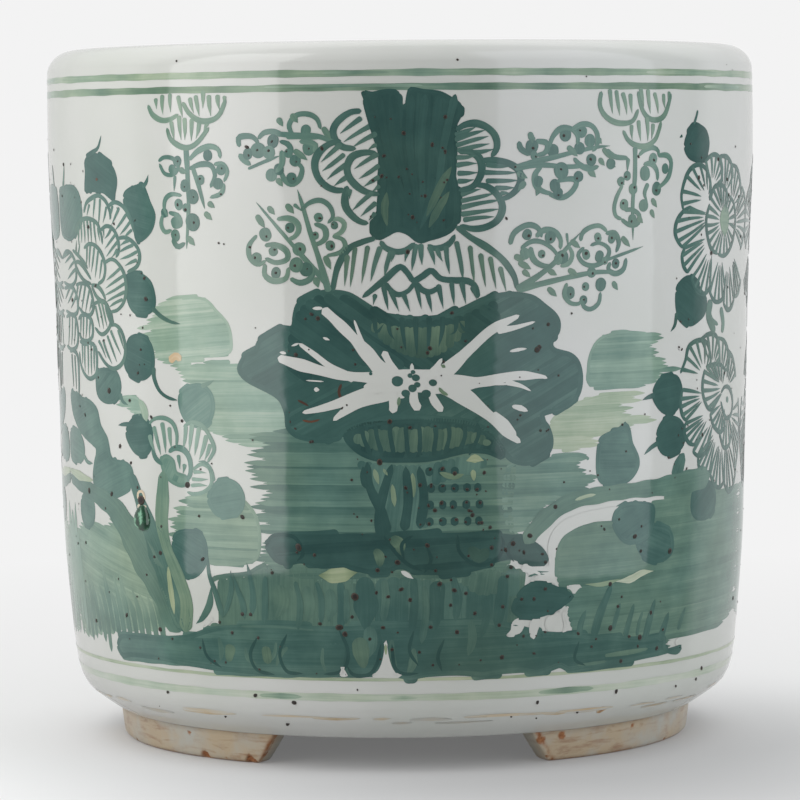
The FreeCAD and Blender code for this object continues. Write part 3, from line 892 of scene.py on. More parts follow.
fill([(-205, 100), (-180, 108), (-160, 112), (-140, 104), (-128, 90), (-122, 78), (-121, 64), (-150, 60),
     (-170, 57), (-206, 56)], 0.52, pitch=2.2, slant=-12, ragged=(10, 0), rim=(), layer=WASH, uneven=0.05,
     tint=0.2)
for u in range(-205, -120, 5):
    low = 54 + 4 * math.sin(u * 0.9) + chance.uniform(-3, 2)
    brush([(u - 6 + chance.uniform(-2, 2), 82 + chance.uniform(-6, 8)), (u - 1, 70), (u + 1, low)],
          [4.2, 4.6, 3.0], [0.52, 0.64, chance.uniform(0.62, 0.76)], start=12, finish=2.5, tint=0.15,
          layer=WASH, over=0.03)
for u, high in ((-214, 116), (-209, 112), (-204, 108), (-199, 103)):
    brush([(u, high), (u + 1, high - 22), (u + 2, high - 50)], [4, 5.5, 3], 0.50, start=8, finish=8,
          layer=WASH, over=0.036)
fill([(-93, 86), (-90, 89.5), (-80, 91), (-72, 92.5), (-64, 96.5), (-50, 97), (-20, 97), (40, 97),
     (52, 95), (54, 90), (54, 72), (50, 62), (20, 60), (-40, 60), (-94, 62), (-96, 66), (-91, 70),
     (-88, 76)], 0.70, pitch=4.6, slant=88, rim=(0, 4), layer=WASH, uneven=0.035, tint=0.2)
fill([(88, 173), (86, 181), (88, 190), (94, 196), (106, 198), (120, 197), (132, 195), (123, 190),
     (131, 185), (142, 179), (130, 177), (127, 173), (108, 172)], 0.50, pitch=1.6, ragged=(0, 7),
     rim=(0, 5), layer=WASH, uneven=0.07)
fill([(67, 158), (72, 163), (78, 166), (90, 169), (104, 170), (122, 169), (110, 162), (130, 157),
     (112, 154), (98, 151), (86, 145), (70, 146), (66, 150)], 0.32, pitch=1.6, ragged=(0, 8), rim=(0, 4),
     layer=WASH, uneven=0.07, tint=0.5)
fill([(46, 139), (62, 142), (80, 143.5), (88, 141), (86, 136), (93, 131), (86, 127), (70, 121), (60, 112),
     (50, 108), (44, 118)], 0.62, pitch=1.7, ragged=(0, 5), rim=(0, 3), layer=WASH, uneven=0.07)
fill([(70, 88), (70, 97), (73, 105), (80, 110), (92, 112), (112, 113), (130, 120), (160, 122), (190, 121),
     (222, 116), (224, 66), (200, 56), (160, 55), (146, 51), (120, 50), (92, 50), (80, 62), (74, 78)],
     0.65, pitch=2.3, slant=1, ragged=(0, 12), rim=(0, 4), layer=WASH, uneven=0.035, tint=0.15)
brush([(103, 84), (112, 84.5), (119, 86.8), (127, 87.2)], [2, 3.4, 3.0, 1.2], 0.22, start=8, finish=6,
     tint=0.5)
brush([(86, 84), (95, 83.3), (106, 85)], [1.2, 2.2, 1.4], 0.44, start=6, finish=6, tint=0.6)
paint_all_round("pale_washes")

# ================================================================ rocks, vase and leaves
# The full-ink shapes: the vase with its fan of leaves, the scalloped lotus leaf with its veins
# left white, the saucer and rocks below it, the branches and the round leaves on them.

DARK, DARKER = 0.83, 0.92  # ink

# the fan above the vase
fill([(-17, 307), (-14, 299), (-11, 290), (-9.5, 281), (-8.5, 271), (-9, 262), (-10.5, 254), (-13.5, 247),
     (-12.5, 242), (-9, 240.7), (-4.5, 243), (-1.5, 244.3), (2.5, 243), (6, 240), (9, 239), (12.5, 240.2),
     (17, 241.5), (22, 244), (24.8, 248), (25.3, 256), (25, 264), (23.5, 271), (23, 280), (23.3, 288),
     (25.5, 293), (27.3, 297), (26.3, 301), (22, 304), (17, 306.5), (10, 307.5), (5, 308.5), (3.3, 307),
     (2.4, 302), (1.7, 300.3), (0.6, 303), (-0.8, 307), (-6, 307.6), (-12, 306.4)], DARKER, slant=88,
     uneven=0.04)
for top, bend in ((-15, -9.5), (-9, -6), (-3, -1), (5, 4), (11, 9), (17, 14), (24, 19)):
    brush([(top, 305), (bend, 284), (bend * 0.6 + 4, 262), (8, 245)], [3.6, 3.0, 2.4],
          DARK + chance.uniform(0.0, 0.2), start=3, finish=8)
for line in (
    [(22, 273), (17, 264), (11, 251)], [(21, 262), (16, 254), (12, 246)],
    [(-6, 262), (-7, 254), (-6, 247)],
):
    brush(line, 3.4, 0.76, start=5, finish=6, tint=0.5)

# the lotus leaf, darker at its heart, and the ribbed bowl under the flower
LOTUS_LEAF = [
    (-30, 219), (-37, 218.5), (-43, 216), (-47.5, 212), (-49, 206), (-49.5, 202.8), (-54, 203.3),
    (-60, 201), (-64, 198), (-66.5, 195), (-67.5, 191.5), (-72.5, 190), (-76, 184), (-74, 179.5),
    (-69, 176), (-62, 173), (-56, 169), (-53.5, 163), (-53, 157), (-48, 152.5), (-38, 150.5),
    (-28, 151.5), (-26, 155), (-14, 159), (0, 161), (16, 160), (30, 158), (40, 152), (44.5, 145),
    (49, 140.5), (56, 139), (63, 141), (68, 145), (69, 151), (67, 157), (64.5, 161), (72, 162.5),
    (79, 165.5), (83, 171), (84, 179), (82, 185.5), (77, 189.5), (70, 191.5), (69, 194), (72, 198),
    (72.5, 203), (70, 207.5), (65, 211.5), (59, 215.5), (52, 217), (45, 217), (38, 215.8), (31, 213),
    (22, 209), (12, 207), (2, 207.3), (-8, 209), (-15, 213), (-22, 217.5),
]
fill(LOTUS_LEAF, DARK, slant=28, uneven=0.05)
fill([(-50, 206), (-44, 214), (-36, 217), (-26, 216), (-14, 211), (-4, 206), (10, 205), (24, 207),
     (40, 213), (44, 200), (30, 190), (22, 185), (8, 181), (-6, 186), (-18, 184), (-40, 178), (-52, 181),
     (-52, 196)], DARKER, pitch=3.4, slant=-35, rim=(), uneven=0.05)
fill([(-15, 206), (-12, 199), (-7, 193.5), (0, 189), (8, 187), (16, 188.5), (23, 193.5), (28, 200),
     (31, 206), (20, 204), (8, 203), (-4, 204)], [0.83, 0.78, 0.70], pitch=2.8, slant=86, rim=(),
     tint=0.5, layer=LINE, uneven=0.05)
for u in (-12, -6, 0, 6, 12, 18, 24, 29):
    brush([(u, 206.5), (u - 0.04 * (u - 8), 200), (u - 0.2 * (u - 8), 189.5 + 0.035 * (u - 8) ** 2)],
          [2.6, 1.8, 1.0], 0.93, finish=4, over=0.06)

# the saucer
fill([(-27, 154), (-21, 158.5), (-11, 160.5), (2, 161.3), (16, 161.3), (28, 160), (37, 156),
     (43.5, 150.5), (46, 146), (44.5, 142), (38, 144.5), (28, 145.3), (18, 143), (8, 141.7), (-6, 141.7),
     (-15, 143), (-22, 147)], DARKER, pitch=2.6, slant=70, uneven=0.06)
fill([(-24, 152), (-19, 156), (-13, 158), (-7, 157.5), (-2, 159), (4, 157.5), (10, 159), (17, 157.5),
     (23, 158.5), (29, 156.5), (35, 155), (40, 150), (41, 147), (30, 148.5), (18, 146), (6, 145),
     (-8, 145.5), (-17, 147.5)], 0.75, pitch=2.8, slant=84, rim=(), tint=0.45, layer=LINE, uneven=0.07)
for u in (-18, -12, -6, 1, 7, 14, 20, 27, 33):
    brush([(u, 159), (u + 0.5, 153), (u - 0.15 * (u - 8), 144.5)], [2.2, 1.8, 2.4], 0.93, start=2, finish=3,
          over=0.06)

# the pierced rock between saucer and ground
fill([(-19, 143), (-8, 142), (10, 142), (26, 145), (36, 144), (33, 136), (10, 128), (8, 110), (-12, 110),
     (-11, 121), (-16, 131)], 0.72, pitch=2.8, slant=82, rim=(), uneven=0.08)
for line in (
    [(-16, 142), (-15, 131), (-10, 120), (-7, 110)], [(-5, 141), (-9, 128), (-11, 117), (-10, 108)],
    [(1, 140), (2, 125), (0, 111)], [(7, 140), (9, 126), (7, 112)], [(-18, 140), (-16, 130)],
):
    brush(line, [3.2, 4.2, 4.5], DARKER, start=3, finish=2)
for line in (
    [(-13, 139), (-11, 132)], [(-5, 132), (-4, 122)], [(4, 137), (4.5, 126)], [(-9, 139), (-7, 136)],
):
    brush(line, 2.2, 0.55, start=2, finish=3, tint=0.7)
rock_dots = []
for row, height in enumerate((137.5, 130, 122.5, 115)):
    for column in range(5):
        u = 12 + 5.4 * column + chance.uniform(-0.6, 0.6)
        if row > 0 or column < 3:
            brush([(u, height - 2.0), (u + chance.uniform(-0.5, 0.5), height + 2.0)], 3.4, DARKER)
            rock_dots.append((u, height))
brush([(16, 137), (22, 135), (27, 136)], 2.6, 0.6, start=3, finish=3, tint=0.7)
brush([(28, 142), (32, 143), (36, 142)], [2, 4, 2], 0.42, start=3, finish=3, tint=0.9)
brush([(31, 138), (31.5, 133)], 2.2, 0.45, start=1, finish=2, tint=0.8)

# rocks along the middle
fill([(-64.5, 104), (-62, 107.5), (-56, 109.5), (-42, 109.5), (-22, 110), (-8, 109.5), (2, 109.8),
     (16, 110), (32, 110), (46, 108.8), (55, 107), (62, 103.5), (66, 99), (66.5, 95), (62, 92.8),
     (55, 94.5), (49, 97), (42, 96), (36, 93.2), (26, 91.5), (14, 91), (5, 91.7), (-2, 94), (-8, 91.5),
     (-18, 92), (-28, 94.5), (-38, 94), (-47, 96.2), (-54, 95), (-60, 97)], DARKER, slant=4, uneven=0.05)
brush([(-6, 108), (-2, 105), (-2, 100)], [4, 5.5, 2], [0.8, 0.64, 0.82], tint=0.6)
brush([(-13, 103), (-11, 99.5), (-11, 95)], [3, 4.6, 2], [0.8, 0.64, 0.82], tint=0.6)
for lobe in (
    [(-64, 103), (-60, 108.5), (-50, 108), (-46, 101), (-49, 97)],
    [(-9, 109), (-6, 104), (1, 96.5), (8, 93)], [(4, 109), (-1, 105), (0, 98)],
    [(24, 109), (25, 101), (33, 95), (42, 97.5), (45, 104), (44, 108)], [(9, 92), (12, 98), (10, 104)],
    [(50, 107), (47, 101), (50, 96)],
):
    brush(lobe, 1.6, 1.0, start=3, finish=4, over=0.045)
brush([(29, 103), (34, 99), (38, 102)], [4, 6, 4], [0.9, 0.84, 0.9], tint=0.4)
brush([(-39, 91), (-33, 90.8), (-27, 91.5), (-21, 92.5)], [4, 6.6, 6, 2.4], [0.62, 0.42, 0.40, 0.6],
     start=5, finish=5, tint=0.95)
brush([(-1.5, 93), (1, 91.5), (4, 89.5)], [1.5, 2.4, 1.0], 0.0, start=1, finish=2, layer=RESERVE)

# the ground: a broad dark band whose bottom is lobed, with soft upright marks above it
fill([(-163, 52), (-159, 57), (-150, 58.3), (-130, 59), (-110, 61), (-98, 64.5), (-84, 67), (-60, 68),
     (-30, 68), (0, 70), (40, 70), (64, 64), (82, 62), (98, 60), (122, 57), (134, 57), (139, 55.5),
     (139, 51.5), (144, 49.3), (152, 48.6), (141, 47.6), (124, 46.6), (104, 45.6), (88, 45.2), (82, 44.4),
     (78, 44.4), (74.3, 46.3), (70, 45.2), (62, 43.8), (55, 45.2), (42, 44.8), (36, 44), (26, 45),
     (10, 44.8), (2, 43.4), (-6, 45), (-16, 45), (-22, 44.4), (-34, 45.5), (-46, 44.9), (-57, 43.8),
     (-72, 44.8), (-92, 45.4), (-112, 46.6), (-132, 47.9), (-150, 47.3), (-158, 46.3), (-162, 49)], [0.68,
     0.74, 0.80, 0.79, 0.78], slant=1, uneven=0.02)
for lobe in (
    [(-70, 62), (-74, 54), (-71, 47), (-62, 45)], [(-55, 64), (-59, 55), (-56, 47), (-48, 46)],
    [(-30, 66), (-26.5, 58), (-27, 51), (-31, 47), (-38, 46)],
    [(-27, 50), (-24, 46), (-17, 46), (-13, 51), (-11, 60)], [(-6, 60), (-5, 50), (-1, 46.5), (6, 46.5)],
    [(18, 62), (15, 54), (17, 47)], [(-100, 60), (-98, 52), (-90, 47)], [(4, 66), (2, 57), (6, 50)],
    [(84, 58), (82, 50), (88, 46.5)],
):
    brush(lobe, 1.6, 0.92, start=4, finish=4, over=0.045)
for line, width in (
    ([(-21, 63), (-20, 55), (-19, 49)], [7, 7.5, 4]), ([(-66, 58), (-65, 50)], [5, 4]),
    ([(-84, 58), (-86, 50)], [6, 4]),
):
    brush(line, width, [0.74, 0.68, 0.74], tint=0.5, over=0.04)
fill([(4, 92), (10, 91), (30, 89), (44, 93), (50, 95), (52, 90), (50, 80), (46, 74), (46, 68), (40, 60),
     (0, 60), (-11, 64), (-12, 88), (-8, 92)], 0.77, pitch=5, slant=88, rim=(), uneven=0.05)
fill([(30, 91), (38, 93.5), (45, 92.5), (46, 86), (42, 81), (34, 80), (28, 84), (27, 89)], 0.74, pitch=3,
     slant=80, rim=(), tint=0.2, uneven=0.02)
SOFT_MARKS = [
    ([(-29, 88), (-28.5, 78), (-29.5, 66)], [3, 4, 4], 0.80, 0.0),
    ([(-18, 90.5), (-17.5, 78), (-18, 66)], [8, 11, 10], 0.83, 0.0),
    ([(-26.5, 85), (-26.3, 76), (-27, 69)], [2, 3, 2], 0.66, 0.4),
    ([(-40, 88), (-38, 80), (-38.5, 69)], [2, 3, 3], 0.76, 0.1),
    ([(-50, 88), (-48, 78), (-49.5, 66)], [2, 3, 3], 0.74, 0.2),
    ([(-64.5, 90), (-65, 80), (-66, 68)], [2, 3.5, 3], 0.74, 0.1),
    ([(-45, 86), (-43.5, 78), (-45, 70)], [4, 6, 4], 0.62, 0.6),
    ([(-58, 86), (-57, 79), (-60, 71)], [6, 8, 5], 0.62, 0.8),
    ([(-34, 85), (-33.5, 77), (-35, 70)], [4, 6, 5], 0.66, 0.5),
    ([(-16, 68), (-16, 61), (-17.5, 53)], [5, 7.5, 5], 0.68, 0.5),
    ([(-9, 89), (-8.5, 80), (-10, 70)], [3, 4, 3], 0.70, 0.4),
    ([(4, 90), (4.4, 78), (3, 64)], [3, 4, 3], 0.86, 0.0),
    ([(9, 86), (9.6, 74), (7.5, 60)], [2.5, 3.5, 3], 0.70, 0.3),
    ([(14, 88), (15, 78), (14, 66)], [3, 4.5, 3], 0.84, 0.0),
    ([(22, 90), (24, 80), (23, 70)], [3, 4.5, 3], 0.82, 0.0),
    ([(36, 80), (37.5, 72), (35, 62)], [3, 4, 3], 0.82, 0.0),
    ([(45, 90), (44.5, 80), (42, 66)], [4, 6, 4], 0.84, 0.0),
    ([(30, 70), (31, 62), (29, 54)], [3, 4, 3], 0.72, 0.2),
    ([(-6, 62), (-6.5, 55), (-4, 49)], [2, 4, 3], 0.68, 0.6),
    ([(4, 58), (3.5, 51), (1, 46)], [2, 4, 2], 0.64, 0.7),
    ([(-60.5, 60), (-62, 54), (-66, 50)], [1.2, 2, 1], 0.66, 0.6),
    ([(-55, 58), (-59, 54), (-61, 49)], [1.5, 2.4, 1], 0.66, 0.7),
    ([(-76.5, 57), (-75.5, 52), (-71, 49.5)], [1.2, 2.2, 1.2], 0.68, 0.5),
    ([(-90.5, 61), (-89.5, 55), (-90.5, 50)], [1.5, 3, 1.5], 0.66, 0.6),
    ([(-38, 58), (-38.5, 52), (-37, 47)], [1, 1.8, 1], 0.66, 0.5),
    ([(-30, 66), (-27, 58), (-28.5, 49)], [1, 1.6, 1], 0.88, 0.0),
    ([(-12, 66), (-11, 56), (-15, 47.5)], [1.2, 1.8, 1.2], 0.88, 0.0),
    ([(-78, 66.5), (-60, 67), (-42, 66)], [1.0, 1.4, 0.8], 0.66, 0.3),
    ([(99, 50.3), (112, 50.6), (126, 51.2)], [1.6, 2.6, 1.2], 0.52, 0.9),
    ([(84, 47), (92, 47.2), (100, 47.6)], [1, 1.6, 1], 0.62, 0.6),
    ([(92, 60), (95, 70), (101, 83)], [4.5, 4.5, 3], 0.72, 0.0),
    ([(103, 62), (104.5, 68), (106.5, 74)], [2.2, 2.8, 1.6], 0.70, 0.0),
    ([(110.5, 58), (112.5, 65), (115, 73)], [3.4, 3.4, 2], 0.72, 0.0),
    ([(123.5, 56), (126, 65), (129, 74)], [4, 4, 2.2], 0.72, 0.0),
    ([(134, 54), (137, 61), (139.5, 67)], [5, 4.4, 2.4], 0.73, 0.0),
    ([(84, 60), (84.5, 66), (87, 72)], [3, 3.4, 2], 0.70, 0.2),
    ([(148, 58), (150, 63), (153, 68)], [3, 3, 1.6], 0.66, 0.0),
    ([(118, 58), (119, 64), (121, 69)], [1.8, 2.2, 1.2], 0.68, 0.0),
]
for line, width, ink, tint in SOFT_MARKS:
    soft = 0.78 + (ink - 0.78) * 0.4
    brush(line, width, [soft, soft + (ink - soft) * 0.4, soft], finish=width[-1], tint=tint * 0.3)
BLADES = [
    ([(-94.3, 100), (-93.8, 90), (-91, 82), (-87.5, 70)], [1.2, 2.0, 3.2, 3.4]),
    ([(-82, 92), (-82.2, 83), (-84.5, 76), (-87, 70.5)], [1.4, 2.6, 2.8, 2]),
    ([(-81, 91), (-79, 84), (-76.5, 77), (-76, 70)], [1.2, 2.2, 3.0, 3.4]),
    ([(-73.6, 96), (-72, 89), (-71, 81), (-72, 72)], [1.2, 2.4, 3.4, 4]),
    ([(-93, 84), (-94.5, 76), (-99, 69.5), (-103, 66.5)], [2, 3.6, 3.2, 1.6]),
    ([(-101, 69.6), (-97.5, 70.8), (-94, 74)], [1.2, 2.2, 1.4]),
]
for line, width in BLADES:
    brush(line, width, 0.74, start=5, finish=4)
for gap in (
    [(-31, 45.4), (-30, 47.4), (-29, 50.2), (-28, 47.8), (-26.3, 45.4), (-28.6, 45.0)],
    [(-15.6, 45.2), (-13, 47.6), (-11, 51), (-9.7, 56), (-9.3, 61), (-8.4, 61), (-7.6, 55), (-6.3, 50),
     (-4.4, 46.8), (-2, 45.3), (-9, 44.9)],
    [(-98.8, 65.2), (-95.5, 66.6), (-92.6, 69.6), (-95, 69), (-98, 67.2)],
):
    fill(gap, 0.0, pitch=1.6, layer=RESERVE, uneven=0.0)
brush([(-8.9, 60), (-8.8, 55)], [1.0, 2.2], 0.42, start=1, finish=3, tint=0.9, layer=RESERVE + 0.03)

# the pointed leaf low on the right, and the white left round it
fill([(51, 80), (54, 84), (59, 86.6), (65, 86.2), (72, 83.7), (78, 81), (80.5, 78.5), (76, 75),
     (70, 71.7), (62, 70), (54, 70), (49, 74)], 0.84, slant=-5)
for gap in (
    [(46.5, 62.3), (49, 65), (49.5, 68.3), (52.5, 70.6), (53, 68.6), (56, 68.6), (54, 63.8), (50, 62.6)],
    [(58.2, 62.8), (58.6, 68.8), (64, 68.8), (62.4, 64.6), (61, 60.6), (59.6, 60.6)],
    [(66, 65), (66.2, 69.6), (70.5, 71.3), (74.6, 73.4), (72, 69.3), (69.8, 64.6), (67.6, 64.2)],
    [(75, 72.6), (78, 74.8), (76.6, 70), (77, 63), (74.8, 62.8), (75.6, 66), (74.4, 70)],
    [(76.3, 83.6), (84, 83.4), (82, 81.4), (80.2, 79.4), (78.6, 81.6)],
    [(53.6, 91.6), (54.6, 94.8), (58, 93.6), (63, 92.8), (66.8, 93), (67, 98), (69.8, 98), (69.8, 90),
     (71, 84.6), (67.6, 86.2), (62, 87.0), (57.5, 87.0), (62, 89.6), (58, 90.6)],
):
    fill(gap, 0.0, pitch=1.5, layer=RESERVE, uneven=0.0)
brush([(60, 91.2), (64, 90.7), (67, 90.8)], 0.9, 0.74, start=1, finish=3, layer=RESERVE + 0.03)
brush([(57, 89), (61, 90), (65, 89.6)], 1.0, 0.74, start=1, finish=3, layer=RESERVE + 0.03)
brush([(50, 67.2), (52.5, 66.9)], 0.6, 0.74, start=1, finish=1, layer=RESERVE + 0.03)
brush([(68.4, 96), (68.8, 103), (73, 109.3), (82, 113.3), (94, 115.5), (104, 118.3)], [3.4, 5, 6.4, 5.6,
     4.4, 1.5], 0.0, start=1, finish=4, layer=RESERVE)
for u, v, width in ((142.4, 52.6, 2.2), (148.5, 52.4, 3.2)):
    brush([(u - 2.4, v - 0.3), (u + 2.6, v + 0.3)], width, 0.0, start=1, finish=1, layer=RESERVE)

# branches
brush([(-208, 128), (-190, 125), (-175, 122), (-158, 117), (-146, 108), (-135, 95), (-124, 82),
     (-117, 68), (-113, 62)], [6, 7, 8, 10, 14, 17, 17, 15, 12], 0.68, start=3, finish=4, tint=0.1)
brush([(-142, 134), (-137, 124), (-131, 112), (-124, 100), (-118, 86), (-113, 72), (-110, 62)], [5, 7, 10,
     15, 14, 13, 9], 0.72, start=3, finish=4)
brush([(-119, 136), (-120, 124), (-121, 112), (-118, 100), (-112, 88), (-108, 76), (-110, 62)], [6, 8, 8,
     6, 7, 8, 7], 0.58, start=3, finish=3, tint=0.35)
brush([(-118, 92), (-117, 80), (-116, 70)], [2, 3.5, 2], 0.40, start=3, finish=4, tint=0.8)
brush([(-209, 131), (-190, 129), (-176, 128)], [2.4, 4.5, 1.5], 0.30, start=3, finish=4, tint=0.6)
brush([(55, 104), (60, 110), (68, 117), (78, 122), (92, 124), (108, 125), (128, 125.5), (150, 126.5),
     (172, 128)], [7, 8, 7.5, 7.5, 7, 8, 10, 11, 9], 0.66, start=3, finish=5, tint=0.1)
brush([(80, 122.5), (86, 124), (91, 124.5)], 1.5, 0.36, start=2, finish=2, tint=0.5)
brush([(61, 105.5), (66, 110), (68, 111.5)], 1.6, 0.05, start=1, finish=2)
brush([(148, 140), (144, 134), (141, 128)], [5, 8, 7], 0.72, start=2, finish=2)

# round leaves and buds, each a full brush pressed down and twisted off into a tip
ROUND_LEAVES = [
    ([(-172, 262), (-171, 272), (-171, 277), (-166, 280), (-159, 280.5), (-152, 278.5), (-146, 274),
     (-143.5, 268), (-145, 262), (-147, 258), (-155, 262), (-166, 262.5)], [(-169, 279), (-163, 281),
     (-158, 283), (-155, 288.5)], 0.82),
    ([(-140, 260), (-137, 264), (-130, 266), (-125, 266), (-121, 258), (-118.5, 252), (-121, 245),
     (-127, 240.5), (-132, 240), (-134, 247), (-138, 252)], [(-126, 265), (-123.5, 267), (-122, 270.5)],
     0.76),
    ([(-206, 262), (-198, 265.5), (-186, 266), (-179, 263), (-176, 257), (-176, 250), (-182, 244),
     (-190, 240), (-198, 240), (-206, 244)], [(-198.5, 265), (-197, 270), (-196, 275)], 0.72),
    ([(-141, 224), (-137, 226), (-130, 226), (-123, 222), (-120.5, 215), (-122, 209), (-129, 206),
     (-136, 207.5), (-140, 212), (-141, 218)], [(-123, 210), (-118, 206.5), (-112, 204), (-106, 203)],
     0.79),
    ([(-143, 190), (-140, 196), (-133, 198), (-126, 196), (-122.5, 190), (-123, 182), (-129, 177),
     (-137, 177), (-143, 181), (-144, 186)], [(-123, 183), (-123, 178), (-120, 172.5), (-115, 169.5),
     (-109, 168.3)], 0.80),
    ([(-168, 180), (-160, 181.5), (-151, 181), (-147, 176), (-147.5, 170), (-153, 165.5), (-161, 164.8),
     (-168, 168), (-169.5, 174)], [(-148, 170), (-146, 166.5), (-142, 165)], 0.76),
    ([(-145, 153), (-140, 159), (-134, 160.5), (-128, 159), (-125, 153), (-126, 146), (-131, 141.5),
     (-138, 142.5), (-143, 147)], [(-139, 156), (-145, 156), (-150.5, 155.3)], 0.80),
    ([(-108, 172), (-101, 176), (-94, 176), (-89, 172), (-88, 165), (-91, 158), (-97, 156), (-104, 158),
     (-108, 164)], [(-95, 175), (-91, 176.5), (-88, 178)], 0.63),
    ([(-94, 124), (-90, 131), (-84, 134), (-77, 132), (-73.5, 126), (-75, 119), (-81, 116), (-89, 116.5)],
     [(-90, 132), (-91, 137), (-94, 140.5), (-98, 141)], 0.66),
    ([(-115, 104), (-112, 108.5), (-104, 110), (-97, 108.5), (-94, 102), (-95, 94), (-100, 88.5),
     (-106, 87), (-112, 91), (-115, 97)], None, 0.76),
    ([(-192, 119), (-186, 122), (-178, 121), (-175, 115), (-177, 108), (-183, 105), (-190, 107),
     (-193, 113)], None, 0.68),
    ([(-206, 150), (-197, 151), (-189, 149), (-185, 143), (-187, 137), (-195, 135), (-206, 137)],
     [(-186, 139), (-182, 136.5), (-176, 136)], 0.68),
    ([(-190, 150), (-200, 158), (-202, 168), (-192, 168.5), (-186, 167), (-177, 166), (-169, 162),
     (-166, 155), (-160, 149), (-158, 142), (-155, 139.5), (-146, 139), (-140.5, 136), (-140, 129),
     (-146, 125.5), (-156, 121), (-166, 119), (-174, 123), (-176.5, 130), (-174, 138), (-172, 143),
     (-180, 146)], None, 0.70),
    ([(92, 148), (95, 151.5), (103, 154), (108, 156.5), (111, 153), (112.5, 147), (116, 141),
     (116.5, 136), (113, 131), (107, 128), (99, 128), (93, 130), (91, 137)], None, 0.75),
    ([(100, 111), (103, 118), (110, 120), (118, 119.7), (126, 118), (127, 112), (124, 104), (118, 101),
     (110, 100.5), (104, 104)], None, 0.76),
    ([(114, 103), (120, 109), (130, 108.7), (138, 106), (141, 100), (140, 94), (134, 91), (126, 91),
     (118, 95)], None, 0.76),
    ([(155, 122), (160, 127), (168, 127), (175, 124), (179, 119), (178, 112), (172, 108), (160, 108),
     (154, 113)], None, 0.80),
    ([(143, 281), (146, 288), (151, 292), (157, 291), (162, 288.5), (164.5, 283), (163, 277),
     (158, 273.5), (151, 274), (146, 276)], [(142, 286), (140, 285)], 0.93),
    ([(139.5, 215), (142, 219), (148, 222), (154, 221), (160, 216), (166, 211), (165, 204), (160, 200.5),
     (152, 198.3), (145, 200.5), (140.5, 205)], [(141, 205), (139.5, 199.5), (136.5, 196.5)], 0.86),
    ([(124, 169), (128, 175), (134, 177.3), (142, 176), (146, 170), (145, 163), (139, 158.5), (132, 159),
     (126, 164)], [(126, 168), (121, 167), (118, 166)], 0.86),
    ([(127, 149), (130, 155), (136, 158), (144, 156.5), (149, 151), (148, 144), (142, 140), (134, 139.5),
     (129, 143)], [(129, 146), (124, 144), (119.5, 141)], 0.84),
]
for outline, tip, ink in ROUND_LEAVES:
    fill(outline, ink, pitch=2.8, slant=chance.uniform(-40, 40), tint=-0.2, uneven=0.02)
    if tip:
        brush(tip, [2.6, 1.9, 1.2], ink - 0.04, finish=3)
brush([(151, 291), (153, 294.5), (154.3, 297.5)], [1.6, 1.4], 0.76, start=1)
brush([(-129, 158), (-131, 164), (-134, 168)], [3, 5, 2.5], 0.40, start=2, finish=2, tint=0.2)
paint_all_round("rocks_and_leaves")

# ================================================================ drawn flowers
# Everything drawn with the point of the brush: peonies and chrysanthemums of hatched petals, the
# lotus cup, the hanging blossoms under the rings, and the sprays of berries. The white veins and
# stamens of the lotus leaf are bare ground, which the painter left by working round them.


def petal(outline, bars, ink=0.76, width=2.3, bar_width=1.5, tint=0.0):
    """A petal: its edge in one stroke, and bars drawn inwards from the edge, each from one
    point to another."""
    brush(outline, [width * 0.8, width * 1.15, width * 1.1, width * 0.8], ink, start=1.0, finish=1.5,
          tint=tint)
    for bar in bars:
        first, last = bar[:2], bar[2:]
        middle = ((first[0] + last[0]) / 2 + chance.uniform(-0.4, 0.4),
                  (first[1] + last[1]) / 2 + chance.uniform(-0.4, 0.4))
        brush([first, middle, last], [bar_width * 1.25, bar_width, bar_width * 0.6], ink - 0.05, finish=4.0,
              tint=tint, layer=LINE)


def fanned(outline, root, count, reach=0.6, margin=0.06):
    """Bars that run from along a petal's edge towards its root, over reach of the way."""
    line = smooth_line(outline, 10)
    bars = []
    for share in np.linspace(margin, 1 - margin, count):
        first = line[int(share * (len(line) - 1))]
        last = first + (np.array(root) - first) * reach * chance.uniform(0.9, 1.05)
        bars.append((*first, *last))
    return bars


def dot(u, v, radius, ink=0.72):
    """A berry: the brush's tip pressed down once."""
    lean = chance.uniform(-0.35, 0.35) * radius
    brush([(u - lean, v - radius), (u + lean, v + radius)], 2 * radius * chance.uniform(0.86, 1.0), ink)


def ring_of(points, width=2.1, ink=0.66, tint=0.0):
    """A berry's husk or a curl: one open loop."""
    brush(points, [width * 0.75, width * 1.1, width, width * 0.7], ink, start=0.8, finish=1.2, tint=tint)


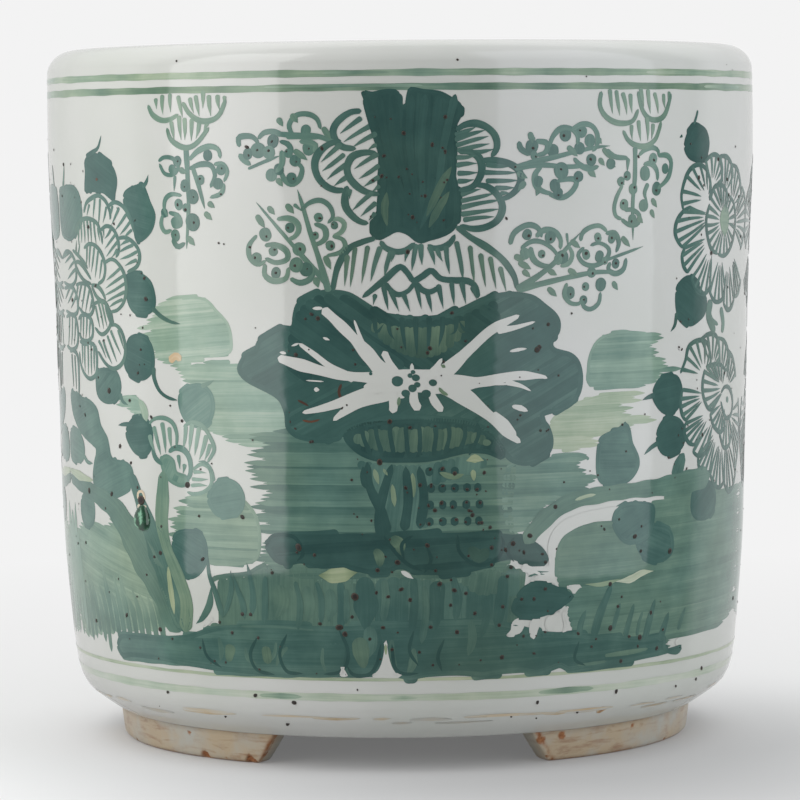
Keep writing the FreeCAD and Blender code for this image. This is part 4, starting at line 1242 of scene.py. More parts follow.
# the fan's petals, left and right
for outline, bars in (
    ([(-16.5, 298), (-21.5, 297.3), (-26.5, 293.8), (-29, 289.5), (-28, 285), (-24.5, 282), (-19, 281.3)],
     [(-16.5, 295, -26, 288), (-11, 292.3, -24.5, 284.3), (-10, 288, -20.5, 282),
     (-10, 283, -14, 280.5)]),
    ([(-25.5, 285), (-31, 283.3), (-35.5, 279.5), (-37.3, 274.5), (-36, 269), (-32.5, 265), (-28, 263),
     (-24, 263.2)], [(-25.5, 283.5, -34.5, 275.5), (-24, 279, -34, 271.5), (-23.2, 274.5, -32, 267.8),
     (-23, 269, -29, 264.8)]),
    ([(-10, 279), (-15, 279.6), (-20.5, 278), (-23, 273.5), (-22.3, 269), (-19, 264.8), (-14.5, 262),
     (-9, 261)], [(-9.5, 279, -20, 272.3), (-9, 274, -18, 268), (-9, 269, -16, 264.5),
     (-9, 265, -12.5, 262.3)]),
    ([(-23, 265), (-24.2, 260), (-23.8, 255.5), (-21, 251.5), (-17.5, 249), (-14, 248.2)],
     [(-22, 263.5, -22.3, 259), (-12, 262, -21, 254), (-10.5, 257.5, -17.5, 251.3),
     (-11, 253, -14, 249.5)]),
    ([(24, 289), (28, 291.4), (33, 292), (38, 290), (41.5, 286), (42, 281), (39.5, 277)],
     [(23.5, 287, 33, 290.5), (23.5, 284.7, 37, 289), (24, 282.3, 38.5, 286.3), (24.5, 280, 39, 283),
     (31, 279, 41, 280.6)]),
    ([(25, 279.5), (30, 279.4), (34.3, 276.5), (35.3, 271), (33, 265.8), (30, 263.5), (25, 262.4)],
     [(24, 277, 33, 277.8), (24, 273.5, 33.5, 274.3), (24.5, 270, 34, 270.3), (24.5, 266.5, 32, 267.2)]),
    ([(35.5, 275.5), (41, 275.7), (47, 274.3), (51.5, 271.5), (53, 267), (51, 262.5), (47, 259.3),
     (43.5, 258.3)], [(37, 273.8, 48.5, 272.8), (36, 270.3, 51, 270), (37, 266.5, 52, 266.6),
     (41, 263.3, 50.5, 263.4), (43.5, 260.8, 48.5, 260.6)]),
    ([(32.5, 265), (38, 263.8), (42.5, 260), (44.6, 254.5), (42.3, 249), (37, 246), (31, 245.4),
     (25.5, 247)], [(26, 260.5, 35, 263), (26, 257.7, 41, 261), (26, 254.8, 43.5, 258),
     (26, 251.8, 43, 254), (27, 249.3, 41, 250.6)]),
):
    petal(outline, bars, ink=0.78, width=2.9, bar_width=1.9)

# the lotus cup
petal([(-11, 241.7), (-17, 240), (-23, 237), (-27.5, 230), (-29.5, 223), (-30.3, 218)], [], ink=0.80,
     width=2.6)
petal([(24, 246.5), (30, 241.8), (38, 236.8), (45, 231.2), (50, 224), (51.5, 218)], [], ink=0.76, width=2.8)
petal([(-9, 240.5), (-7, 237.5), (-2.5, 235.6), (2, 236.2), (6, 239.5)], [(-9, 238, -13.5, 222.5),
     (-4.5, 236, -7.5, 224.5), (-3.5, 236, -4.5, 231), (3, 236.5, 1.5, 231), (6.5, 239, 4.5, 227),
     (8.5, 239, 9, 229.5)], width=2.5, bar_width=2.0)
petal([(11.5, 238.6), (14, 237), (18, 237.3), (21.5, 239.5), (23.5, 243)], [(12, 238, 14.5, 229.5),
     (15.5, 237, 18, 231), (19.5, 238, 21, 225.5), (24, 240, 27, 222.5)], width=2.4, bar_width=2.0)
for bar in (
    (-20, 238, -22.5, 220), (-23.5, 234.5, -25, 220.5), (-14.5, 238.5, -17.5, 221.5), (30, 238, 32, 221),
    (34.7, 234.5, 37, 219.5), (39, 233, 41.8, 218.5), (43.5, 228.5, 46.5, 217),
):
    brush([bar[:2], bar[2:]], [2.4, 1.7, 1.0], 0.70, start=0.8, finish=5, tint=0.2)
brush([(-17.3, 215.3), (-12, 219.5), (-7, 223.5), (-3, 227.3), (0, 228.8), (3, 225.6), (5.2, 222.7),
     (9, 224.5), (13, 227), (17, 223.5), (23, 222.6), (29, 222.2), (32.5, 219.5), (33.6, 214.5)], [2.2,
     2.8, 3.2, 2.4, 3.0, 2.6, 3.0, 2.4], 0.80, start=2, finish=1)
brush([(-7.3, 222), (-4.3, 218), (-1, 216.5), (3, 218.3), (6, 221.5), (9, 218.5), (12.5, 217.6),
     (16.5, 219.6)], [2.0, 2.6, 2.0, 2.6, 2.0], 0.78, start=1, finish=1)
for bar in (
    (-11.5, 217, -12.5, 212), (-8, 221, -6, 209.6), (-5, 219, -1.3, 209), (0.5, 217.5, 3.6, 209),
    (6.2, 222, 8.6, 210), (11, 218, 13.2, 208.5), (16, 221, 18.2, 210), (21.8, 222, 23, 211.5),
    (26.3, 222, 28.2, 212), (31, 220, 33, 214),
):
    brush([bar[:2], bar[2:]], [2.6, 1.7, 0.9], 0.76, start=0.8, finish=4)

# the lotus leaf's white veins, its stamens and the dots between them
for line, width in (
    ([(2, 178), (-12, 179.5), (-28, 181), (-44, 185), (-56, 188.5)], [7, 6, 4.0, 4.4, 5.5, 3.5]),
    ([(-21, 179), (-31, 184), (-39, 190), (-46, 195)], [4.0, 3.2, 2.6, 1.6]),
    ([(-46, 195), (-49.5, 193.8)], 1.0), ([(-52, 190.5), (-55, 191)], 1.4),
    ([(0, 178), (-9, 183), (-15, 190), (-22, 198), (-30, 206), (-35, 210.5)], [6, 7, 6.4, 4.6, 4.6, 3.8]),
    ([(-35, 210.7), (-39.5, 210.6)], 1.6), ([(-16, 191), (-18.5, 198), (-21, 205.5)], [3.2, 1.8, 0.8]),
    ([(-1, 180), (-5.5, 186), (-8.3, 191.5)], [2.6, 3.0, 3.2]),
    ([(4.5, 180), (4.2, 183), (4.2, 186)], [3.2, 2.0, 1.4]),
    ([(9, 178), (14, 183), (17.5, 188)], [3.4, 3.2, 1.4]),
    ([(0, 176), (-10, 172.5), (-20, 168.5), (-28, 163), (-31, 160.5)], [8, 8, 6.5, 4, 1.6]),
    ([(-14, 173), (-26, 169), (-36, 166), (-45, 164)], [6, 5, 3.6, 1.4]),
    ([(-4.5, 173), (-4, 168), (-4.5, 163.8)], [3.5, 4.0, 3.6]),
    ([(5, 174), (5, 169), (7.3, 165)], [3.4, 4.2, 3.4]),
    ([(12, 174), (14, 169), (17.5, 164.3)], [3.0, 4.0, 2.6]),
    ([(10, 177), (20, 183), (30, 192), (40, 200.5), (52.5, 206.5)], [6, 7, 4.6, 4.6, 4.0, 1.8]),
    ([(42, 200), (50, 201), (60, 203.5)], [3.4, 2.2, 0.8]),
    ([(10, 177), (24, 176.5), (38, 177.5), (50, 179.5), (62, 179), (66, 178)], [9, 9, 5, 4.4, 4.0, 1.2]),
    ([(46, 177), (53, 175), (58, 172.5)], [3.0, 2.0, 0.6]),
    ([(18, 176), (27, 171), (36, 164), (42, 159), (47, 154), (53, 149.5)], [8, 8, 6, 4.6, 4.4, 2.2]),
    ([(40, 163), (46, 158.5), (51, 153)], [3.0, 3.4, 1.4]),
    ([(49, 166), (53, 165), (56.5, 163.5)], [1.6, 2.8, 1.2]),
    ([(48, 190.5), (53, 191.3), (56, 191.5)], [1.0, 1.6, 0.8]), ([(-35, 197.6), (-32, 196.5)], 1.2),
    ([(-39.5, 174.5), (-37, 174.3)], 2.0), ([(-43, 178.5), (-35, 178)], 0.6),
    ([(28, 177), (45, 176), (50, 176.5)], [0.8, 1.4, 0.6]),
):
    brush(line, width, 0.0, start=0.8, finish=1.2, layer=RESERVE)
fill([(-18, 175), (-8, 181), (0, 182.5), (8, 181.5), (14, 182), (24, 180), (27, 175), (18, 172.5),
     (10, 173.5), (2, 172), (-8, 171)], 0.0, pitch=2.4, layer=RESERVE, uneven=0.0)
for u, v, radius in (
    (-2.3, 178, 2.3), (5.8, 179.5, 1.5), (13.3, 177.2, 1.5), (4.3, 174.8, 1.7), (1.3, 172.6, 1.6),
    (10.3, 172.3, 1.8), (3.3, 180.5, 1.0), (6.4, 176.4, 1.2), (4.6, 182, 0.9), (-14, 181.5, 0.7),
):
    brush([(u - 0.2, v - radius), (u + 0.3, v + radius)], 2.3 * radius, 0.86, layer=RESERVE, over=0.08)
for line in ([(16, 175), (17.5, 173), (20, 171.5)], [(17, 185), (19, 184)], [(-1.5, 171), (-2, 167)]):
    brush(line, 1.6, 0.62, start=1, finish=1, tint=0.6, layer=RESERVE, over=0.08)

# the peony at the left
PEONY = [
    ([(-174, 253), (-171, 257.5), (-165, 260), (-159, 261), (-153.5, 258.5), (-150.5, 254), (-150, 250)],
     [(-168, 257, -171, 251.5), (-162.5, 260, -165, 250.5), (-158, 259.5, -160.5, 247),
     (-153, 256, -156.5, 248.5)]),
    ([(-152, 256), (-146, 258), (-140, 256), (-135.5, 251), (-132.5, 243.5)], [(-148, 256.5, -151, 250),
     (-143, 255.5, -149.5, 247.5), (-138, 252.5, -147, 245), (-135, 249.5, -143.5, 243),
     (-134.5, 245.5, -141, 241.5)]),
    ([(-185, 243), (-181.5, 247.5), (-175, 250), (-168, 250.2), (-161.5, 248), (-158.5, 243),
     (-158, 238.5)], [(-180.5, 247, -182, 238), (-177.5, 248.5, -178, 239), (-174.5, 249.5, -174.5, 239),
     (-171, 249.8, -171, 239), (-168, 249.8, -167.8, 239), (-164.5, 248.8, -163.5, 238.5),
     (-161, 246.5, -160, 240)]),
    ([(-159, 245), (-154, 247), (-149, 246), (-145.5, 242), (-144.8, 236), (-147.5, 232.5)],
     [(-156.5, 245.5, -156.5, 241.5), (-150, 245.8, -156, 241), (-146.5, 243.5, -156, 236.5),
     (-145.3, 240, -155, 233), (-146, 236.5, -151, 232.5)]),
    ([(-145, 241.5), (-139, 241.8), (-133, 239), (-130, 234.5), (-132, 229), (-139.5, 226)],
     [(-137, 240.6, -144, 238), (-134, 238.6, -145.5, 234.8), (-131.5, 235.6, -144.5, 231.8),
     (-132, 231.8, -141, 228.8)]),
    ([(-157, 230), (-151, 231.8), (-146, 230), (-141.5, 225), (-140.5, 218), (-143, 212), (-148, 208.5),
     (-153.5, 207.5)], [(-144, 228, -156, 222), (-141.8, 224.5, -157, 218.2), (-141, 221, -158, 215),
     (-141.5, 217, -157, 212), (-143.5, 213.5, -155, 209.5)]),
    ([(-176, 236.5), (-170, 238.6), (-163.5, 237.5), (-158.5, 233.5), (-156.5, 228), (-158.5, 222.5),
     (-164, 220)], [(-172.5, 237.5, -174.5, 228), (-169, 238, -171.5, 227.5),
     (-165.5, 237, -169.5, 225.5), (-162, 235.5, -166, 223), (-159, 231.5, -162, 222.5)]),
    ([(-187.5, 229.5), (-183, 230), (-178, 228), (-173, 224.5), (-170, 222)], []),
    ([(-187.5, 229), (-183, 224.5), (-177, 221.3), (-170, 220)], []),
    ([(-170, 219.7), (-164, 219), (-160, 216.5), (-157.3, 213)], []),
    ([(-170, 219.3), (-166.5, 215), (-162, 212.6), (-157, 212.3)], []),
    ([(-190, 235.5), (-183, 233), (-176, 229.5), (-173, 227)], [(-183, 233.5, -180, 240),
     (-186, 233, -184, 240)]),
    ([(-171, 209), (-166, 211.5), (-159, 212), (-155, 208.5), (-154, 202), (-158, 198), (-163, 197),
     (-168.5, 200)], [(-167, 210, -163.5, 200), (-164, 211.5, -160, 199.5), (-161, 211.8, -157, 200.5),
     (-157.8, 210.5, -155.3, 203)]),
    ([(-155, 201), (-150, 201.6), (-145.5, 199), (-143, 194), (-142.8, 188.5), (-145, 184.5), (-149, 182),
     (-154, 181.5), (-160, 184), (-166, 189)], [(-154, 199, -146, 188), (-148, 199.5, -143.7, 190.5),
     (-157, 196.5, -149.5, 184.5), (-161, 194.5, -153.5, 183.5), (-165, 194, -158.5, 186)]),
    ([(-186, 193), (-180, 191.6), (-173, 192.5), (-168, 190), (-167.3, 183), (-169, 178), (-175, 175.8),
     (-181, 177.5), (-185.5, 182), (-187, 188)], [(-183, 191.5, -183.5, 182.5),
     (-180, 191.5, -180.5, 179), (-176.3, 192, -177, 177.5), (-172.8, 192, -173.3, 177.5),
     (-169.8, 191, -170.3, 179.5)]),
    ([(-187, 203), (-183, 205), (-176, 205.3), (-171, 202), (-171, 196), (-176, 193.5), (-183, 193.8),
     (-186.5, 197)], [(-183.5, 204.5, -184.5, 195), (-180.3, 205, -181.5, 194),
     (-176.5, 205, -178.5, 194), (-173, 203, -174.5, 194.5)]),
    ([(-188, 219), (-182, 220), (-174, 219.5), (-170, 214.5), (-169, 209), (-173, 205.5), (-180, 206),
     (-186, 209)], [(-185.5, 219, -189, 212), (-181, 219.5, -186.5, 209.5), (-176.5, 219.5, -182.5, 207),
     (-172.3, 217.5, -178, 206.5), (-170, 213, -173.5, 207)]),
    ([(-208, 231), (-200, 234.5), (-192, 233.6), (-187, 229), (-187, 223), (-191, 219.5), (-198, 218.6),
     (-207, 220)], [(-187.5, 230.5, -198, 226), (-187.5, 226.5, -200, 221.5), (-190, 233.5, -203, 229),
     (-196, 234, -207, 231)]),
    ([(-207, 217), (-198, 218), (-191, 217), (-187, 212), (-188, 206.5), (-195, 205), (-206, 206.5)],
     [(-188, 214.5, -197, 208), (-191, 217.3, -202, 210), (-197, 218, -206, 212)]),
    ([(-206, 203.5), (-198, 205), (-191, 203.8), (-188, 197), (-190, 190.5), (-198, 188.5), (-206, 190)],
     [(-191, 203, -193.5, 191), (-195.5, 204.5, -198, 190.5), (-200, 204.5, -203, 190)]),
    ([(-201, 187.5), (-194, 188), (-189, 184.5), (-189, 172), (-190.5, 166)], [(-193.5, 186, -193, 170),
     (-198, 186.5, -197, 171)]),
]
for outline, bars in PEONY:
    petal(outline, bars, ink=0.70, width=1.9, bar_width=1.35)
brush([(-158, 209), (-155, 207.5), (-153, 203), (-152.5, 201)], [2.5, 4.5, 3.5], 0.74, start=1, finish=1)

# the small flowers below it
petal([(-127.5, 157), (-124, 159.3), (-118, 160), (-112.5, 158), (-110, 153), (-110.5, 147)],
     [(-124.5, 156, -120.5, 143), (-119, 158, -117.3, 144), (-114.5, 156, -113.5, 146),
     (-127.5, 152, -124, 144)], ink=0.56, width=1.9, bar_width=2.2)
petal([(-106, 156.5), (-101, 158.5), (-95, 157), (-91, 152), (-89, 146.5), (-93, 140.5)],
     [(-104.5, 157, -106.5, 146), (-100.8, 158, -103, 145), (-97, 156.5, -100, 143.5),
     (-93, 153, -97.5, 141.5), (-91, 149, -94.5, 141.5)], ink=0.54, width=1.9, bar_width=2.0)
petal([(-126, 146), (-124, 141.5), (-119.5, 138.5)], [], ink=0.66, width=2.2)
petal([(-115.5, 144.5), (-111.5, 146.5), (-106.5, 146), (-103, 142), (-102.5, 136), (-104.5, 132)],
     [(-109.5, 143.5, -108.8, 137), (-106, 139.5, -107, 135)], ink=0.62, width=2.6, bar_width=2.0)
petal([(-101.5, 137), (-96, 139.8), (-91.5, 137.5), (-91, 131), (-95, 127.3), (-101, 126), (-105, 126.8)],
     [(-101, 136, -93.5, 135.8), (-102, 132.8, -92.5, 133), (-102.5, 129.8, -93, 130)], ink=0.54, width=1.8)
fill([(-121, 141), (-117, 143.5), (-112, 141), (-110.5, 136), (-105, 134.5), (-103.5, 131), (-108, 128.6),
     (-115, 130.5), (-119.5, 135)], 0.56, pitch=2.2, slant=60, tint=0.15)

# the hanging blossoms under the rings
HANGING_LEFT = [
    ([(-121.3, 302), (-118.3, 297.5), (-113, 295), (-108, 295.4), (-103.3, 297.6)],
     [(-116.5, 305, -116, 300), (-112.5, 306.5, -112.2, 297.5), (-108, 307, -107.7, 298.5),
     (-103.5, 306, -101, 296)]),
    ([(-101, 303), (-97.5, 298), (-92, 294.6), (-86, 294.6), (-81.5, 297.3), (-78.3, 304)],
     [(-97, 305, -95, 298), (-94, 306, -92, 296.5), (-90, 308, -90.2, 300), (-87, 306, -86, 296.5),
     (-82.5, 306, -81.5, 299), (-79, 305.5, -79.5, 301)]),
    ([(-110, 291.5), (-108, 286.5), (-103, 283.3), (-98, 282.6), (-93, 285), (-87, 291.5)],
     [(-107.5, 294.5, -106, 286), (-103, 297, -102, 286), (-100, 296, -100, 286),
     (-96, 295.5, -96.5, 285.5), (-92, 294.5, -94, 286.5), (-87.5, 294, -90, 289.5)]),
]
HANGING_RIGHT = [
    ([(92.5, 306), (91.5, 300), (94, 295.3), (99, 292.3), (105, 291.6), (110, 293), (113, 298)],
     [(97, 307, 98.3, 296), (100.5, 306.5, 102.3, 295), (104, 305.5, 106.3, 295.5),
     (108.5, 305, 109.3, 296)]),
    ([(113, 306), (115, 298.5), (119, 294), (125, 293.2), (130, 296), (134.3, 305)],
     [(114.5, 307.5, 116.3, 299), (119, 307, 120.3, 296), (123, 305.5, 125.3, 296), (129, 305, 130, 298),
     (133, 306, 132, 300.5)]),
    ([(104, 288.5), (107, 284), (112, 281.5), (118, 281.4), (123, 284), (125.5, 288), (127.3, 292.5)],
     [(109, 291, 109.3, 284), (113, 293, 114.3, 283.5), (118, 294.5, 118.6, 283.5),
     (122, 291.5, 121, 284.5)]),
]
for blossoms, ink in ((HANGING_LEFT, 0.56), (HANGING_RIGHT, 0.60)):
    for outline, bars in blossoms:
        petal(outline, bars, ink=ink, width=2.3, bar_width=1.9, tint=0.15)

# the sprays of berries: stems, then husks, berries and comma leaves
STEMS = [
    ([(-99.5, 283), (-99, 270), (-99, 256), (-101, 237)], [3.0, 2.4, 2.0, 1.2]),
    ([(-96, 273.5), (-93, 265), (-90.3, 255)], [2.4, 1.8]), ([(-106, 270), (-106.8, 263)], 1.7),
    ([(111, 281), (111, 268), (110, 255), (110.6, 239)], [2.6, 2.4, 2.0, 1.0]),
    ([(119, 264.5), (117, 260), (119, 255.5)], 2.2), ([(107, 276), (106.5, 270)], 2.2),
    ([(-32, 218), (-36, 232), (-40, 245), (-43, 256), (-45.2, 263.5)], [3.4, 2.6, 2.2, 2.0, 1.2]),
    ([(-33, 222), (-42, 232), (-52, 243.5), (-64.5, 258)], [3.0, 2.2, 1.6, 0.9]),
    ([(-28, 284), (-36, 287), (-47, 287.6), (-58, 288.6)], [2.2, 2.6, 2.4, 2.0]),
    ([(-68, 272.8), (-60, 276), (-53, 278.5)], [1.2, 2.0]),
    ([(50, 272), (60, 275), (70, 277), (80, 279.3), (90, 281), (97, 281.6)], [3.0, 2.4, 2.0, 1.2]),
    ([(50, 272), (62, 273.3), (75, 272.4), (87, 273)], [2.6, 2.2, 1.8]),
    ([(51, 218), (60, 223), (69, 229.5), (76, 237), (82, 243)], [3.2, 2.6, 2.2, 1.0]),
    ([(52, 218), (66, 221), (80, 223.6), (92, 225), (104, 224.3)], [3.2, 2.4, 2.2, 1.4]),
    ([(90, 228.5), (102, 232), (117, 236)], [1.0, 1.6, 0.8]), ([(75, 242.8), (76, 236)], 1.3),
    ([(-47, 257), (-43.5, 254)], 2.4), ([(-50, 287), (-42, 287), (-33.5, 286)], [2.4, 2.8, 2.2]),
    ([(59, 286), (56.5, 281)], 2.2),
]
HUSKS = [
    [(-115.5, 276.5), (-112, 278.3), (-107, 277.7), (-104, 274), (-107, 270.6), (-112, 271),
     (-115, 275.5)],
    [(-98, 277), (-93, 281), (-87, 283), (-82.5, 281.5), (-81.5, 277.5)],
    [(-98, 273), (-92, 275), (-86.5, 274.5), (-84.5, 270), (-87, 264.5)],
    [(-85, 275), (-80.5, 275), (-78.2, 271.5), (-80, 267)],
    [(-80, 266.5), (-81.5, 262), (-87.5, 260)],
    [(-102.5, 261), (-108, 261.7), (-112, 259.5), (-113, 255), (-111, 251.5)],
    [(-114, 252.5), (-115.2, 248), (-113, 244.6), (-109, 245.5)],
    [(-110.5, 253.5), (-105, 251.8), (-103.7, 248), (-107.5, 246.5)],
    [(-109, 241.5), (-106, 238), (-101.5, 239.7)],
    [(113, 277), (117, 279.7), (122, 280.6), (125.3, 279), (125.3, 276.5)],
    [(125, 277), (131, 277), (134, 274), (133, 268.5), (130, 265), (125, 262)],
    [(116, 273), (121, 273.3), (124.5, 270), (125, 265.5)],
    [(95, 280), (99.5, 276.7), (107, 276)],
    [(104, 264), (101, 259), (99.5, 254), (100.5, 250), (104, 248.4)],
    [(103.5, 248.5), (108, 246), (113, 246.5), (114, 250), (110, 252.6), (105, 252.6)],
    [(-44, 254), (-40, 257.5), (-35, 258.6), (-31, 256), (-29.6, 251.5), (-32, 248.3)],
    [(-31, 250), (-27, 250.3), (-24.6, 248), (-26, 244.5), (-30, 242.5)],
    [(-30, 242.6), (-25.6, 241.3), (-24.4, 238), (-27, 235.3), (-33, 234)],
    [(-38, 248.3), (-33.5, 246.3), (-33, 242), (-36, 239.5), (-39.5, 239)],
    [(-55, 250.3), (-50, 250.8), (-46, 249), (-45, 245.5), (-47, 242.5), (-50, 241.3)],
    [(-64.5, 243.3), (-68.5, 238.5), (-68.2, 233), (-64.5, 230), (-60.5, 232)],
    [(-61, 238.6), (-56, 239), (-51, 236.3), (-50.7, 232.5), (-56, 231), (-61, 233)],
    [(-61, 230.5), (-61.3, 225.5), (-57, 222.8), (-51.5, 224), (-50, 229)],
    [(-49.5, 224), (-45, 222), (-40, 224), (-38.5, 229)],
    [(-47, 287.5), (-48.5, 292), (-45.3, 296.3), (-40, 296.8), (-36, 294.6), (-34.4, 290)],
    [(-63, 286), (-60, 288.8), (-55, 289.3), (-50, 287.2)],
    [(-72, 282.5), (-72, 286.8), (-66, 287.2), (-62.5, 284)],
    [(-72.3, 279.5), (-69.5, 276.5), (-66.5, 274.5)],
    [(-53, 285), (-49, 283.5), (-47.8, 280), (-51, 278.7)],
    [(-52, 281), (-52, 275), (-55, 271)],
    [(-53, 272.5), (-51, 268), (-47.5, 266), (-44, 268.5), (-43, 273), (-45.5, 275.5)],
    [(-44, 284.7), (-40.5, 284.5), (-36.8, 283), (-37.5, 279.5)],
    [(52, 284), (53, 280.5), (57.5, 277.7)],
    [(59.5, 284), (65, 283), (64.5, 279), (60, 277.5)],
    [(66, 281), (68, 286), (72, 289.6), (77, 289.2), (80, 286), (80, 282)],
    [(77, 289), (82, 291.3), (87, 290.7), (90, 287), (90, 282), (87.5, 279)],
    [(78, 276.3), (81.5, 273), (86, 271.3), (91, 272.5)],
    [(62.5, 273), (59.5, 269), (60, 264), (63.5, 261.5), (68, 260.3)],
    [(66, 260.5), (72, 258.6), (77, 261), (79.6, 265.3), (77, 267), (69.5, 266)],
    [(48, 238), (50, 243.3), (56, 246.7), (61, 245.3), (63, 241)],
    [(60, 241.3), (64, 244.3), (69, 243.6), (72, 240), (72, 235.5)],
    [(53, 236.3), (58, 239.3), (63, 239), (68, 236), (71.5, 232)],
    [(57.5, 237), (59, 231.5), (63, 228.6), (68.5, 228)],
    [(72, 228), (76, 229), (78, 233), (76, 237.3)],
    [(82, 239), (83, 242.7), (87, 245.2), (92, 245.7), (96, 243)],
    [(84, 236.3), (81, 233), (84, 229), (90, 228), (96, 231), (97, 235.3), (92, 238), (87, 237)],
    [(95, 242.3), (100, 242.3), (102.5, 238), (101, 233.5)],
    [(98, 229.3), (97, 226), (101, 224), (105.5, 226), (107, 231)],
    [(75.5, 220.5), (74.2, 215.5), (77, 211.6), (81.5, 211), (84, 213.5)],
    [(83, 213.3), (84.3, 209.6), (88, 208.4), (92, 211), (93, 216)],
]
BERRIES = [
    (-107.5, 273, 2.1), (-104.5, 276.5, 2.4), (-88, 279, 2.6), (-81.3, 272.5, 2.4), (-92, 268, 2.3),
    (-83, 266.3, 2.6), (-96.5, 260.5, 3.3), (-100.7, 265.5, 2.8), (-104.5, 257, 2.6), (-113, 253.3, 2.2),
    (-107, 248.7, 2.6), (-107, 243, 2.7), (-97, 249, 4.0), (-100.5, 255.5, 2.0), (122, 275.6, 2.6),
    (130, 271, 2.4), (124.5, 262, 3.2), (117, 269, 3.4), (116.5, 254.5, 2.8), (106.5, 268, 2.2),
    (110, 262, 2.6), (105, 255, 2.6), (110, 248, 2.8), (97.3, 273.5, 2.4), (103, 265.5, 2.2),
    (-36, 251, 2.0), (-29, 247.5, 1.8), (-31, 238.5, 2.3), (-37.5, 243, 1.8), (-49, 246.5, 2.3),
    (-65, 233, 2.6), (-60.5, 243.5, 3.0), (-57, 236, 2.1), (-45, 237, 3.0), (-42, 228, 3.2),
    (-46.5, 230, 3.3), (-56, 226.5, 2.6), (-41, 289.7, 2.5), (-56, 285, 3.1), (-63, 281, 3.5),
    (-58, 280, 3.0), (-68, 279.5, 2.6), (-49, 279.6, 2.1), (-40, 281.5, 3.0), (-46, 276.3, 2.6),
    (-57, 270, 2.9), (-53.5, 272.5, 2.6), (-47.7, 268.5, 2.5), (58, 281.5, 3.1), (59, 277.6, 2.0),
    (74, 286.6, 3.0), (68, 279.6, 3.0), (82, 288, 2.8), (86.3, 284, 3.0), (81, 280.6, 2.8),
    (87, 275.3, 2.8), (72, 270.6, 3.8), (69, 264, 3.0), (61, 266, 2.5), (70.5, 260.6, 2.6),
    (80.5, 268, 2.5), (56, 242.5, 2.4), (67, 241, 2.8), (55, 234, 2.6), (63, 233.6, 1.9), (73, 232, 3.2),
    (91, 240.5, 2.2), (85, 233, 2.3), (92, 232, 2.6), (98.5, 240, 2.3), (101, 228.6, 2.3), (88, 225, 2.5),
    (77, 216, 2.9), (84, 212.5, 2.2), (93, 219.3, 3.1), (85, 218.6, 2.0), (71, 231, 2.4), (95, 230, 1.8),
]
LEAFLETS = [
    (-88.5, 258, -85, 255.5), (-90.5, 253.5, -86.5, 250), (-100, 242.5, -96.3, 238.5),
    (-103.5, 273, -99.5, 271), (121.5, 257.5, 125, 253.5), (121, 252.5, 123.5, 248.5),
    (113, 249.5, 116.3, 246.5), (95, 274, 100, 272), (101, 266.5, 105, 264), (-50.5, 257, -47, 252.8),
    (-59, 256, -55.8, 252.3), (-64.5, 252.3, -60.7, 246.5), (-33.5, 234, -31, 228),
    (-38, 224.5, -36.7, 219.8), (-53.7, 295.3, -51.3, 291.5), (-54.5, 268.5, -51.8, 264.8),
    (-46.5, 281, -40.5, 276.5), (-33.5, 291, -30, 285.5), (-47.5, 297, -44.5, 293), (57, 288, 58.5, 283),
    (75, 281.5, 80, 277), (91, 276, 94, 272.7), (85.5, 271, 89.5, 267.5), (93, 280.5, 98, 275.5),
    (51, 270, 56, 267.5), (55, 266, 51.5, 262), (104, 240.5, 109, 236), (76, 226.5, 81, 223.6),
    (66, 218.5, 70.5, 214.5), (99.5, 220.5, 102.5, 216.5), (52, 230.3, 58, 227), (54, 226.5, 57.7, 223.5),
    (50, 233, 55, 231), (66, 226.5, 70.5, 224), (77, 239.5, 82, 236), (62, 264, 60, 259.5),
    (90, 285, 92.5, 282.5),
]
for line, width in STEMS:
    brush(line, width, 0.64, finish=5)
for line in HUSKS:
    ring_of(line, width=chance.uniform(2.0, 2.6), ink=chance.uniform(0.58, 0.70))
for u, v, radius in BERRIES:
    dot(u, v, radius, ink=chance.uniform(0.62, 0.78))
for bar in LEAFLETS:
    brush([bar[:2], bar[2:]], [2.4, 3.0, 1.5], 0.62, finish=2.0, tint=0.15)

# the chrysanthemums at the right, ring in ring of hatched petals
CHRYSANTHEMUM_HIGH = [
    ([(143.5, 252), (142, 259), (145, 267), (150, 271.5), (157, 272.5), (163.5, 269), (166.5, 262),
     (165.5, 256)], (164, 257), 8),
    ([(160, 273.5), (167, 277), (174, 276), (178, 270.5), (177, 263)], (168, 262), 6),
    ([(175, 276.5), (183, 276), (189, 272.5), (192, 266)], (181, 258), 5),
    ([(189, 272.5), (197, 270.5), (203, 264), (206, 257)], (190, 252), 5),
    ([(150, 253.5), (144, 251.5), (139, 247), (138, 241.5), (141, 237), (145, 234.3)], (170, 249), 6),
    ([(146, 235), (143.8, 231), (145.3, 226), (149, 222.8)], (170, 240), 4),
    ([(151.5, 221.5), (154.5, 216.5), (160, 213.4), (166, 213.5), (170, 218)], (170, 236), 5),
    ([(168, 214.5), (173, 209.5), (179, 208.8), (184, 211), (186, 218)], (179, 232), 5),
    ([(184, 208), (189, 204.6), (195, 205.5), (200, 210)], (188, 230), 4),
    ([(200, 210), (207, 212), (212, 218)], (193, 232), 4),
    ([(206, 262), (213, 257), (216, 248), (214, 238), (208, 232)], (192, 245), 8),
    ([(166, 256), (170, 262), (177, 263), (183, 260.5), (187, 255)], (182, 248), 7),
    ([(166, 254.5), (163, 247.5), (164.5, 240), (169, 233.5), (176, 231)], (182, 246), 7),
    ([(176, 231), (183, 230), (190, 232.5), (195, 238), (197, 246), (194, 254), (187, 258)], (182, 246),
     9),
]
